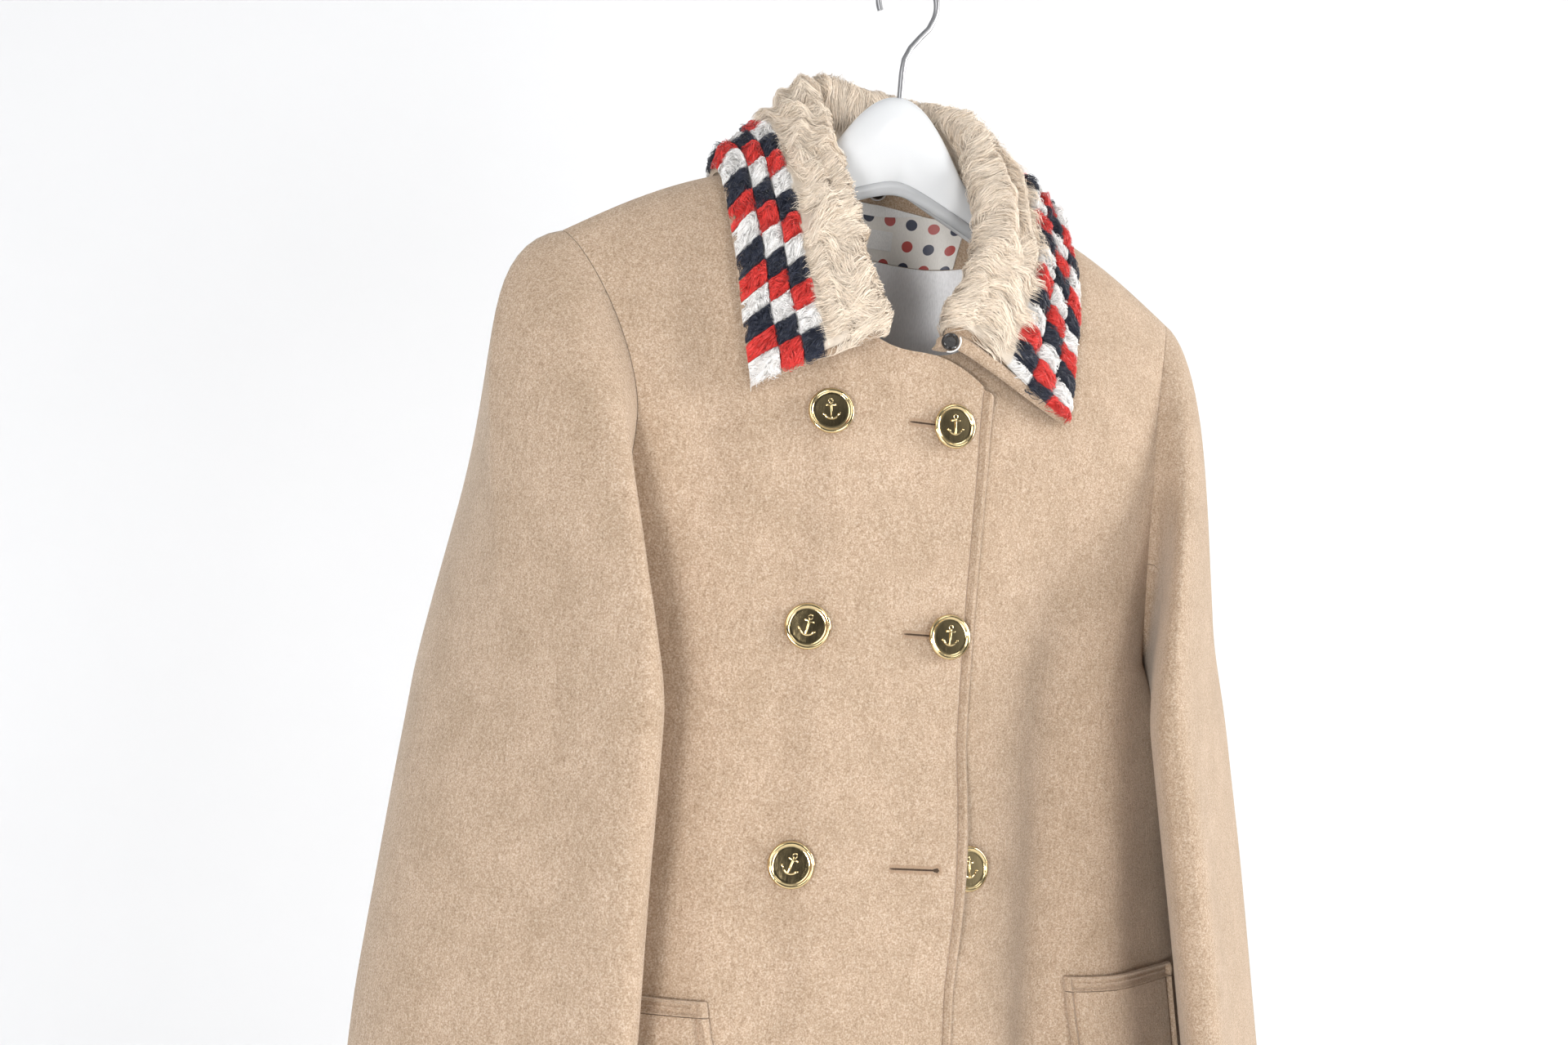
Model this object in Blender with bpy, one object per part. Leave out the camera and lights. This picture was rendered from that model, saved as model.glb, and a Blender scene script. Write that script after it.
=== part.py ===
"""A double-breasted wool coat with a buttoned-on fur collar, hanging on a plastic hanger.

Metres, +Z up. The coat's front faces -Y, and the wearer's right side is at -X. The origin is the point inside
the top of the hook where a rail carries it. The coat's own sizes are measured from the level of its shoulder
tips: every piece is parented to the "coat" empty, which stands at that level.
"""

import math
from collections import namedtuple
from functools import lru_cache

import bmesh
import bpy
import numpy as np
from mathutils import Vector
from mathutils.bvhtree import BVHTree

# Cloth
CLOTH = 0.003
LINING = 0.001
SEAM_GAP = 0.0004
UNDERARM_GAP = 0.0008
FUR_SEAM_GAP = 0.0014
LAYER_GAP = 0.0007
TRIM_LIFT = 0.0008

# Shoulders and neck
SHOULDER_HALF = 0.195
SHOULDER_CROWN = 0.007
NECK_HALF = 0.072
NECK_SIDE_HEIGHT = 0.056
NECK_FRONT_HEIGHT = -0.048
NECK_FRONT_DEPTH = 0.058
NECK_BACK_HEIGHT = 0.068
NECK_BACK_DEPTH = 0.050
NECK_COLUMN = 0.076

# Body levels and armholes
CHEST_HEIGHT = -0.100
UNDERARM_HEIGHT = -0.215
HEM_HEIGHT = -0.764
FRONT_ARMHOLE_HALF = {"right": 0.156, "left": 0.170}
BACK_ARMHOLE_HALF = 0.165

# Lapped fronts
RIGHT_LAP = 0.047
RIGHT_LAP_LEAN = 0.018
RIGHT_LAP_DIP = 0.021
LEFT_LAP = 0.040
LEFT_LAP_DIP = 0.004
LAP_LIFT = CLOTH + 0.0007
LAP_RAMP_START = 0.066
LAP_RAMP_END = 0.046

# Collar
COLLAR_BACK_SHARE = 0.4
COLLAR_END_X = 0.024
COLLAR_RIGHT_END_X = 0.006
COLLAR_LIFT = 0.0012
ROLL_SHARE = 0.30
ROLL_FULLNESS = 0.030
NECK_SEAM_RISE = 0.0009
NECK_SEAM_LEAN = 0.0032
FUR_DEPTH = 0.011
FUR_NECK_START = 0.10
FUR_BORDER_START = 0.55
FUR_EDGE = 0.965
FUR_START = 0.012
FUR_END = 0.955
FUR_STAND = 0.35
FUR_STAND_RUN = 0.25
FUR_END_ROUND = 0.05
FUR_EDGE_ROUND = 0.12

# Fastenings
BUTTON_RADIUS = 0.0125
BUTTON_HEIGHT = 0.0050
SHANK_RADIUS = 0.0030
RIM_WIDTH = 0.0024
SMALL_BUTTON_RADIUS = 0.0050
SMALL_BUTTON_HEIGHT = 0.0024
LOOP_CORD = 0.0007
BUTTON_GAP = 0.0004
BACK_BUTTON_SPOT = (0.010, 0.0, 0.0635)
FRONT_BUTTON_SPOT = (0.012, -1.0, -0.0405)

# Pockets
FLAP_WIDTH = 0.104
FLAP_HEIGHT = 0.056
WELT_HEIGHT = 0.008
FLAP_LIFT = 0.0012

# Inside the back neck
HANG_LOOP_HEIGHT = 0.007
HANG_LOOP_LEFT = -0.030
HANG_LOOP_RIGHT = 0.044
HANG_LOOP_LEVEL = 0.0575
HANG_LOOP_SAG = 0.006
LABEL_WIDTH = 0.040
LABEL_HEIGHT = 0.012
LABEL_LEFT = -0.016
LABEL_LEVEL = 0.034

# Hanger
DOME_TOP = 0.109
DOME_LOW = 0.055
DOME_FALL = 24.0
ARM_FALL = 0.455
ARM_END = 0.182
ARM_DEPTH = 0.011
DOME_DEPTH = 0.022
WIRE_RADIUS = 0.0018
HOOK_RADIUS = 0.0190
HOOK_CENTRE = 0.1660
HOOK_END_DEGREES = 205.0
HOOK_SHANK = (
    (0.0, 0.116),
    (0.0, 0.124),
    (0.0008, 0.132),
    (0.0042, 0.1395),
    (0.0098, 0.1468),
    (0.0150, 0.1530),
)
DOME_STATIONS = (0.0, 0.012, 0.024, 0.034, 0.044, 0.054, 0.064)
ARM_STATIONS = (0.076, 0.096, 0.116, 0.136, 0.156, 0.170, ARM_END)
HANGER_CLEARANCE = 1.1 * CLOTH + 0.0013
HANG_RISE = HOOK_CENTRE + HOOK_RADIUS - WIRE_RADIUS

# Level sections of the body: it hangs wider at the wearer's left, where it swings out behind the sleeve
Section = namedtuple(
    "Section", "height right_half left_half front_depth back_depth side_y right_square left_square"
)
BODY_SECTIONS = (
    Section(-0.764, 0.230, 0.298, 0.114, 0.110, 0.036, 2.1, 1.80),
    Section(-0.600, 0.208, 0.292, 0.104, 0.102, 0.034, 2.1, 1.75),
    Section(-0.450, 0.188, 0.270, 0.090, 0.090, 0.032, 2.2, 1.70),
    Section(-0.360, 0.182, 0.247, 0.079, 0.080, 0.027, 2.25, 1.75),
    Section(-0.300, 0.176, 0.2295, 0.072, 0.075, 0.022, 2.3, 1.95),
    Section(-0.215, 0.176, 0.1945, 0.063, 0.069, 0.014, 2.5, 2.50),
    Section(-0.100, 0.198, 0.198, 0.058, 0.062, 0.000, 2.7, 2.70),
)

# Soft troughs (depth below 0) and ridges, each running from its top to its foot
Fold = namedtuple("Fold", "face top_x foot_x top foot width depth")
FOLDS = (
    Fold("right_front", -0.120, -0.117, 0.000, -0.170, 0.016, -0.0060),
    Fold("right_front", -0.112, -0.098, -0.130, -0.780, 0.028, 0.0050),
    Fold("right_front", 0.047, 0.047, -0.265, -0.395, 0.032, 0.0078),
    Fold("left_front", 0.088, 0.102, -0.110, -0.780, 0.028, -0.0075),
    Fold("left_front", 0.134, 0.150, -0.060, -0.780, 0.026, 0.0040),
    Fold("back_panel", -0.095, -0.110, -0.120, -0.780, 0.030, 0.0080),
    Fold("back_panel", 0.000, 0.006, -0.200, -0.780, 0.030, -0.0060),
    Fold("back_panel", 0.088, 0.100, -0.120, -0.780, 0.028, 0.0080),
)

# Flat-hanging sleeve sections: turn is how far the flat swings from the frontal plane
SleeveSection = namedtuple("SleeveSection", "height centre_x centre_y width thickness turn")
RIGHT_SLEEVE = (
    SleeveSection(-0.590, -0.211, -0.044, 0.154, 0.044, 42.0),
    SleeveSection(-0.450, -0.203, -0.031, 0.176, 0.047, 48.0),
    SleeveSection(-0.320, -0.199, -0.025, 0.183, 0.048, 56.0),
    SleeveSection(-0.255, -0.195, -0.021, 0.184, 0.048, 59.0),
)
LEFT_SLEEVE = (
    SleeveSection(-0.590, 0.2550, -0.070, 0.158, 0.038, 45.4),
    SleeveSection(-0.450, 0.2343, -0.060, 0.174, 0.038, 49.9),
    SleeveSection(-0.320, 0.2161, -0.049, 0.184, 0.038, 49.5),
    SleeveSection(-0.255, 0.2080, -0.041, 0.186, 0.038, 49.0),
)
SLEEVE_ROUNDNESS = 0.9
CAP_OUT = 0.42
CAP_SWELL = {"right": 0.50, "left": 0.90}
CAP_CROWN = {"right": 0.50, "left": 0.10}
CAP_FORWARD = {"right": 0.80, "left": 0.62}
CAP_LIFT = 0.04
CAP_RISE = 0.30
CAP_FULLNESS = {"right": 0.82, "left": 0.46}
CAP_STEP = 0.010
SLEEVE_FRONT_SEAM = 62.0
SLEEVE_BACK_SEAM = 292.0

# The collar's roll and outer edge for one side, from the centre back (0) to the front end (1)
CollarStation = namedtuple("CollarStation", "share roll_x roll_y roll_z edge_x edge_y edge_z")
COLLAR_STATIONS = (
    CollarStation(0.00, 0.000, 0.057, 0.121, 0.000, 0.077, 0.042),
    CollarStation(0.20, 0.035, 0.048, 0.117, 0.061, 0.068, 0.044),
    CollarStation(0.40, 0.051, 0.010, 0.097, 0.106, 0.023, 0.048),
    CollarStation(0.50, 0.051, -0.008, 0.075, 0.110, -0.009, 0.044),
    CollarStation(0.60, 0.050, -0.028, 0.049, 0.108, -0.034, 0.004),
    CollarStation(0.80, 0.043, -0.053, 0.002, 0.103, -0.0475, -0.042),
    CollarStation(1.00, 0.029, -0.067, -0.043, 0.098, -0.056, -0.078),
)

# Button rows: wearer's right column, then left column, which is on the left front where unfastened
ButtonRow = namedtuple("ButtonRow", "height right_x left_x left_carrier")
BUTTON_ROWS = (
    ButtonRow(-0.087, -0.052, 0.021, "right_front"),
    ButtonRow(-0.204, -0.056, 0.026, "right_front"),
    ButtonRow(-0.330, -0.059, 0.045, "left_front"),
)

Pocket = namedtuple("Pocket", "side inner_x top lean")
POCKETS = (
    Pocket("right", 0.099, -0.402, -0.18),
    Pocket("left", 0.121, -0.393, 0.18),
)

# Shares of the way down from the neck or shoulder seam to the chest line
TOP_ROWS = (0.0, 0.065, 0.20, 0.34, 0.54, 0.77, 1.0)
FACING_ROW = 1
YOKE_ROW = 3
ARMHOLE_STEPS = 6
BODY_STEPS = 11
FRONT_COLUMNS = (3, 5, 6)
BACK_COLUMNS = (5, 5)
FACING_COLUMNS = 4
YOKE_COLUMNS = 4
LINING_COLUMNS = 8
SLEEVE_CAP_STEPS = 6
SLEEVE_STEPS = 7

# How far the cloth runs level off the shoulder before it turns down, and how it falls past the chest line
SHOULDER_ROUND = 0.55
CHEST_SLOPE = {"front": np.array((0.0, -0.12, -1.0)), "back": np.array((0.0, 0.10, -1.0))}

SIDE_SIGN = {"right": -1.0, "left": 1.0}
BODY_MIDDLE = np.array((0.0, 0.0, -0.3))
CAMEL = (0.545, 0.352, 0.195, 1.0)


def clear_scene():
    for obj in list(bpy.data.objects):
        bpy.data.objects.remove(obj, do_unlink=True)


def material(name, colour, roughness, metallic=0.0):
    made = bpy.data.materials.new(name)
    made.use_nodes = True
    shader = made.node_tree.nodes["Principled BSDF"]
    shader.inputs["Base Color"].default_value = colour
    shader.inputs["Roughness"].default_value = roughness
    shader.inputs["Metallic"].default_value = metallic
    made.diffuse_color = colour
    return made


def unit(vectors):
    return vectors / np.linalg.norm(vectors, axis=-1, keepdims=True)


def smooth_step(value, low, high):
    share = min(max((value - low) / (high - low), 0.0), 1.0)
    return share * share * (3.0 - 2.0 * share)


def hermite(start, end, start_slope, end_slope, share):
    square = share * share
    cube = square * share
    return (
        start * (2.0 * cube - 3.0 * square + 1.0)
        + start_slope * (cube - 2.0 * square + share)
        + end * (3.0 * square - 2.0 * cube)
        + end_slope * (cube - square)
    )


@lru_cache(maxsize=None)
def table_curve(rows, column):
    places = np.array([row[0] for row in rows])
    values = np.array([getattr(row, column) for row in rows])
    return places, values, np.gradient(values, places)


def read_table(rows, column, place):
    """A table's column between its rows, along a smooth curve. The rows go up by their first column."""
    places, values, slopes = table_curve(rows, column)
    last = len(places) - 2
    index = int(np.clip(np.searchsorted(places, place) - 1, 0, last))
    width = places[index + 1] - places[index]
    share = (place - places[index]) / width
    return hermite(values[index], values[index + 1], slopes[index] * width, slopes[index + 1] * width, share)


# Body surface


@lru_cache(maxsize=None)
def half_section(face, side, height):
    """Distance along the cloth, x and y, from the centre line to the side seam at one height."""
    half_width = read_table(BODY_SECTIONS, f"{side}_half", height)
    side_y = read_table(BODY_SECTIONS, "side_y", height)
    power = 2.0 / read_table(BODY_SECTIONS, f"{side}_square", height)
    angles = np.linspace(0.0, math.pi / 2.0, 181)
    x = half_width * np.sin(angles) ** power
    reach = np.abs(np.cos(angles)) ** power
    if face == "front":
        y = side_y - (side_y + read_table(BODY_SECTIONS, "front_depth", height)) * reach
    else:
        y = side_y + (read_table(BODY_SECTIONS, "back_depth", height) - side_y) * reach
    steps = np.hypot(np.diff(x), np.diff(y))
    along = np.concatenate(([0.0], np.cumsum(steps)))
    return along, x, y


def section_point(face, along, height):
    """A point on the body's section at a distance along the cloth from the centre line, up towards +X."""
    distance, x, y = half_section(face, "left" if along > 0.0 else "right", height)
    place = abs(along)
    across = math.copysign(np.interp(place, distance, x), along)
    return np.array((across, np.interp(place, distance, y), height))


def seam_distance(face, side, height):
    return half_section(face, side, height)[0][-1]


def along_at_x(face, side, height, half):
    distance, x, _ = half_section(face, side, height)
    return float(np.interp(half, x, distance))


def shoulder_point(share):
    x = NECK_HALF + (SHOULDER_HALF - NECK_HALF) * share
    z = NECK_SIDE_HEIGHT * (1.0 - share) + SHOULDER_CROWN * math.sin(math.pi * share)
    return np.array((x, 0.0, z))


def front_neck_point(angle):
    """The front neckline is a quarter ellipse in plan: 0 at the centre front, 90 degrees at the shoulder."""
    across = math.sin(angle)
    height = NECK_FRONT_HEIGHT + (NECK_SIDE_HEIGHT - NECK_FRONT_HEIGHT) * across**3
    return np.array((NECK_HALF * across, -NECK_FRONT_DEPTH * math.cos(angle), height))


def back_neck_point(angle):
    rise = (NECK_BACK_HEIGHT - NECK_SIDE_HEIGHT) * math.cos(angle) ** 2
    return np.array((NECK_HALF * math.sin(angle), NECK_BACK_DEPTH * math.cos(angle), NECK_SIDE_HEIGHT + rise))


def lean_direction(facing, tilt_degrees, inward=0.0):
    """The way the cloth leaves its top edge: straight down at 0 degrees, level and outward at 90."""
    tilt = math.radians(tilt_degrees)
    direction = np.array((-inward, facing * math.sin(tilt), -math.cos(tilt)))
    return direction / np.linalg.norm(direction)


def front_columns(side, lap, lap_dip, tucked):
    """For each column of a front: distance along the chest line, top point and leaving direction, outward +X.

    A tucked lap lies back behind the neckline of the other front.
    """
    columns = []
    lap_count, neck_count, shoulder_count = FRONT_COLUMNS
    armhole = along_at_x("front", side, CHEST_HEIGHT, FRONT_ARMHOLE_HALF[side])
    for share in np.linspace(0.0, 1.0, lap_count + 1)[:-1]:
        x = -lap * (1.0 - share)
        back = math.sqrt(1.0 - (x / NECK_HALF) ** 2) if tucked else 1.0
        top = np.array((x, -NECK_FRONT_DEPTH * back, NECK_FRONT_HEIGHT - lap_dip * (1.0 - share) ** 2))
        columns.append((x, top, lean_direction(-1.0, 3.0)))
    for share in np.linspace(0.0, 1.0, neck_count + 1)[:-1]:
        angle = share * math.pi / 2.0
        tilt = 3.0 + 72.0 * math.sin(angle) ** 2
        columns.append((NECK_COLUMN * share, front_neck_point(angle), lean_direction(-1.0, tilt)))
    for share in np.linspace(0.0, 1.0, shoulder_count + 1):
        along = NECK_COLUMN + (armhole - NECK_COLUMN) * share
        columns.append((along, shoulder_point(share), lean_direction(-1.0, 75.0, 0.4 * share)))
    return columns


def back_columns():
    """The same for half of the back, from the centre back to the armhole."""
    columns = []
    neck_count, shoulder_count = BACK_COLUMNS
    armhole = along_at_x("back", "right", CHEST_HEIGHT, BACK_ARMHOLE_HALF)
    for share in np.linspace(0.0, 1.0, neck_count + 1)[:-1]:
        angle = share * math.pi / 2.0
        tilt = 10.0 + 65.0 * math.sin(angle) ** 2
        columns.append((NECK_COLUMN * share, back_neck_point(angle), lean_direction(1.0, tilt)))
    for share in np.linspace(0.0, 1.0, shoulder_count + 1):
        along = NECK_COLUMN + (armhole - NECK_COLUMN) * share
        columns.append((along, shoulder_point(share), lean_direction(1.0, 75.0, 0.3 * share)))
    return columns


def lower_rows():
    """Heights below the chest line, with how far the armhole has swung round to the side seam at each."""
    rows = []
    for step in range(1, ARMHOLE_STEPS + 1):
        angle = step / ARMHOLE_STEPS * math.pi / 2.0
        height = CHEST_HEIGHT + (UNDERARM_HEIGHT - CHEST_HEIGHT) * math.sin(angle)
        rows.append((height, 1.0 - math.cos(angle)))
    for step in range(1, BODY_STEPS + 1):
        rows.append((UNDERARM_HEIGHT + (HEM_HEIGHT - UNDERARM_HEIGHT) * step / BODY_STEPS, 1.0))
    return rows


def half_panel(face, side, columns, lap_lean=0.0):
    """Outer skin of a panel, row by row from its top edge to its hem, its columns running out to its side."""
    mirror = np.array((SIDE_SIGN[side], 1.0, 1.0))
    armhole = columns[-1][0]
    lap = max(-columns[0][0], SEAM_GAP)
    rows = []
    for share in TOP_ROWS:
        row = []
        for along, top, leaving in columns:
            foot = section_point(face, SIDE_SIGN[side] * along, CHEST_HEIGHT)
            length = np.linalg.norm(foot - top * mirror)
            start_slope = leaving * mirror * length * SHOULDER_ROUND
            row.append(hermite(top * mirror, foot, start_slope, CHEST_SLOPE[face] * length, share))
        rows.append(row)
    for height, swing in lower_rows():
        spread = (seam_distance(face, side, height) - armhole) * swing
        drop = (CHEST_HEIGHT - height) / (CHEST_HEIGHT - HEM_HEIGHT)
        row = []
        for along, _, _ in columns:
            outward = max(along, 0.0) / armhole
            inward = max(-along, 0.0) / lap
            place = along + spread * outward**2 + lap_lean * drop * inward
            row.append(section_point(face, SIDE_SIGN[side] * place, height))
        rows.append(row)
    return np.array(rows)


def grid_normals(points, facing_point):
    """Unit normals of a grid of points, pointing away from a point inside."""
    down = np.gradient(points, axis=0)
    across = np.gradient(points, axis=1)
    normals = unit(np.cross(down, across))
    if np.sum(normals * (points - facing_point)) < 0.0:
        normals = -normals
    return normals


def fold_push(name, point):
    push = 0.0
    for fold in FOLDS:
        if fold.face != name:
            continue
        reach = (fold.top - point[2]) / (fold.top - fold.foot)
        if not 0.0 < reach < 1.0:
            continue
        centre = fold.top_x + (fold.foot_x - fold.top_x) * reach
        ends = math.sin(math.pi * min(reach, 0.5)) if fold.foot < HEM_HEIGHT else math.sin(math.pi * reach)
        push += fold.depth * ends * math.exp(-(((point[0] - centre) / fold.width) ** 2))
    return push


def pushed(name, points, normals, lapped=False):
    moved = points.copy()
    for place in np.ndindex(points.shape[:2]):
        push = fold_push(name, points[place])
        if lapped:
            push += LAP_LIFT * smooth_step(points[place][0], -LAP_RAMP_START, -LAP_RAMP_END)
        moved[place] += normals[place] * push
    return moved


def level_seam_normals(normals, shoulders, sides):
    """Where two panels meet at a shoulder or side seam, both edges are cut square to the seam."""
    seam = normals.copy()
    first_side_row = len(TOP_ROWS) - 1 + ARMHOLE_STEPS
    for columns in shoulders:
        seam[0, columns, 1] = 0.0
    for column in sides:
        seam[first_side_row:, column, 1] = 0.0
    return unit(seam)


def trimmed(points, top=False, bottom=False, left=False, right=False, gap=SEAM_GAP):
    """The grid with the edges named moved in by half a seam gap."""
    cut = points.copy()
    half = gap / 2.0
    if top:
        cut[0] += unit(points[1] - points[0]) * half
    if bottom:
        cut[-1] += unit(points[-2] - points[-1]) * half
    if left:
        cut[:, 0] += unit(points[:, 1] - points[:, 0]) * half
    if right:
        cut[:, -1] += unit(points[:, -2] - points[:, -1]) * half
    return cut


# Meshes


def add_object(name, mesh, finish, parent):
    mesh.materials.append(finish)
    mesh.shade_smooth()
    mesh.set_sharp_from_angle(angle=math.radians(50.0))
    obj = bpy.data.objects.new(name, mesh)
    bpy.context.scene.collection.objects.link(obj)
    obj.parent = parent
    return obj


def mesh_from(name, working):
    bmesh.ops.recalc_face_normals(working, faces=working.faces[:])
    mesh = bpy.data.meshes.new(name)
    working.to_mesh(mesh)
    working.free()
    return mesh


def wall(name, outer, inner, finish, parent):
    """A closed cloth wall between two skins, each a grid of points."""
    rows, columns = outer.shape[:2]
    working = bmesh.new()
    bmesh.ops.create_grid(working, x_segments=columns - 1, y_segments=rows - 1, size=1.0)
    place = working.verts.layers.int.new("place")
    working.verts.ensure_lookup_table()
    for index, vert in enumerate(working.verts):
        vert[place] = index
        vert.co = outer[divmod(index, columns)]
    grown = bmesh.ops.extrude_face_region(working, geom=working.faces[:], use_keep_orig=True)
    for vert in grown["geom"]:
        if isinstance(vert, bmesh.types.BMVert):
            vert.co = inner[divmod(vert[place], columns)]
    return add_object(name, mesh_from(name, working), finish, parent)


def turned(name, profile, steps, finish, parent):
    """A solid turned about Z from (radius, height) pairs that start and end on the axis."""
    working = bmesh.new()
    verts = [working.verts.new((radius, 0.0, height)) for radius, height in profile]
    edges = [working.edges.new(pair) for pair in zip(verts, verts[1:])]
    bmesh.ops.spin(
        working,
        geom=verts + edges,
        cent=(0.0, 0.0, 0.0),
        axis=(0.0, 0.0, 1.0),
        angle=2.0 * math.pi,
        steps=steps,
        use_merge=True,
    )
    bmesh.ops.remove_doubles(working, verts=working.verts[:], dist=1e-6)
    return add_object(name, mesh_from(name, working), finish, parent)


def lofted(name, rings, finish, parent):
    """A solid through closed rings of points, with flat ends."""
    working = bmesh.new()
    loops = [[working.verts.new(point) for point in ring] for ring in rings]
    for first, second in zip(loops, loops[1:]):
        for index in range(len(first)):
            after = (index + 1) % len(first)
            working.faces.new((first[index], first[after], second[after], second[index]))
    working.faces.new(loops[0])
    working.faces.new(loops[-1])
    return add_object(name, mesh_from(name, working), finish, parent)


def rod(name, points, radius, finish, parent):
    """A round wire or cord through points, with filled ends."""
    curve = bpy.data.curves.new(name, "CURVE")
    curve.dimensions = "3D"
    curve.bevel_depth = radius
    curve.bevel_resolution = 2
    curve.use_fill_caps = True
    spline = curve.splines.new("POLY")
    spline.points.add(len(points) - 1)
    for target, point in zip(spline.points, points):
        target.co = (*point, 1.0)
    curve.materials.append(finish)
    obj = bpy.data.objects.new(name, curve)
    bpy.context.scene.collection.objects.link(obj)
    obj.parent = parent
    return obj


def skin_tree(points, normals):
    """A skin to stand things on, its faces wound to face along the grid's normals."""
    rows, columns = points.shape[:2]
    winding = np.cross(np.gradient(points, axis=1), np.gradient(points, axis=0))
    turned_over = np.sum(winding * normals) < 0.0
    faces = []
    for row in range(rows - 1):
        for column in range(columns - 1):
            first = row * columns + column
            face = (first, first + 1, first + columns + 1, first + columns)
            faces.append(face[::-1] if turned_over else face)
    return BVHTree.FromPolygons([Vector(point) for point in points.reshape(-1, 3)], faces)


def seat(obj, tree, start, direction, gap):
    """Stands an object on the skin that a line meets, with its Z axis the way the skin faces."""
    place, normal, _, _ = tree.ray_cast(Vector(start), Vector(direction))
    obj.location = place + normal * gap
    obj.rotation_mode = "QUATERNION"
    obj.rotation_quaternion = normal.to_track_quat("Z", "Y")


def lie_on(tree, points, lift):
    """Points moved to stand off a skin by the lift, on the side it faces."""
    laid = points.copy()
    for place in np.ndindex(points.shape[:2]):
        spot, normal, _, _ = tree.find_nearest(Vector(points[place]))
        laid[place] = spot + normal * lift
    return laid


# Body pieces


def make_fronts(camel, parent):
    skins = {}
    laps = {
        "right_front": (RIGHT_LAP, RIGHT_LAP_DIP, RIGHT_LAP_LEAN),
        "left_front": (LEFT_LAP, LEFT_LAP_DIP, 0.0),
    }
    for name, (lap, lap_dip, lap_lean) in laps.items():
        side = name.split("_")[0]
        columns = front_columns(side, lap, lap_dip, side == "left")
        plain = half_panel("front", side, columns, lap_lean)
        outer = pushed(name, plain, grid_normals(plain, BODY_MIDDLE), lapped=side == "right")
        shoulder = slice(-FRONT_COLUMNS[-1] - 1, None)
        normals = level_seam_normals(grid_normals(outer, BODY_MIDDLE), [shoulder], [-1])
        inner = outer - normals * CLOTH
        skins[name] = (outer, normals)
        wall(name, trimmed(outer, top=True, right=True), trimmed(inner, top=True, right=True), camel, parent)
    return skins


def make_back(camel, parent):
    right = half_panel("back", "right", back_columns())
    left = half_panel("back", "left", back_columns())
    plain = np.concatenate((right[:, :0:-1], left), axis=1)
    outer = pushed("back_panel", plain, grid_normals(plain, BODY_MIDDLE))
    shoulders = [slice(0, BACK_COLUMNS[-1] + 1), slice(-BACK_COLUMNS[-1] - 1, None)]
    normals = level_seam_normals(grid_normals(outer, BODY_MIDDLE), shoulders, [0, -1])
    inner = outer - normals * CLOTH
    edges = {"top": True, "left": True, "right": True}
    wall("back_panel", trimmed(outer, **edges), trimmed(inner, **edges), camel, parent)
    return outer, normals


def armhole_loop(front, back, back_column):
    """Points and normals round one armhole: from the underarm up the front to the tip, then down the back."""
    last = len(TOP_ROWS) - 1 + ARMHOLE_STEPS
    points = []
    normals = []
    for row in range(last, -1, -1):
        points.append(front[0][row, -1])
        normals.append(front[1][row, -1])
    for row in range(1, last):
        points.append(back[0][row, back_column])
        normals.append(back[1][row, back_column])
    return np.array(points), np.array(normals)


def loop_angles(points):
    """Angles round the sleeve for the loop's points: 0 at the underarm, 180 degrees at the shoulder tip."""
    closed = np.concatenate((points, points[:1]))
    steps = np.linalg.norm(np.diff(closed, axis=0), axis=1)
    along = np.concatenate(([0.0], np.cumsum(steps)))
    tip = len(points) // 2
    front = along[: tip + 1] / along[tip] * math.pi
    back = math.pi + (along[tip:] - along[tip]) / (along[-1] - along[tip]) * math.pi
    return np.concatenate((front, back[1:-1]))


def sleeve_ring(table, height, angles):
    values = {column: read_table(table, column, height) for column in SleeveSection._fields[1:]}
    side = math.copysign(1.0, values["centre_x"])
    turn = math.radians(values["turn"])
    towards_front = np.array((-side * math.cos(turn), -math.sin(turn), 0.0))
    towards_body = np.array((-side * math.sin(turn), math.cos(turn), 0.0))
    centre = np.array((values["centre_x"], values["centre_y"], height))
    round_cos = np.sign(np.cos(angles)) * np.abs(np.cos(angles)) ** SLEEVE_ROUNDNESS
    across = np.outer(round_cos, towards_body) * values["thickness"] / 2.0
    lengthways = np.outer(np.sin(angles), towards_front) * values["width"] / 2.0
    return centre + across + lengthways


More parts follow.
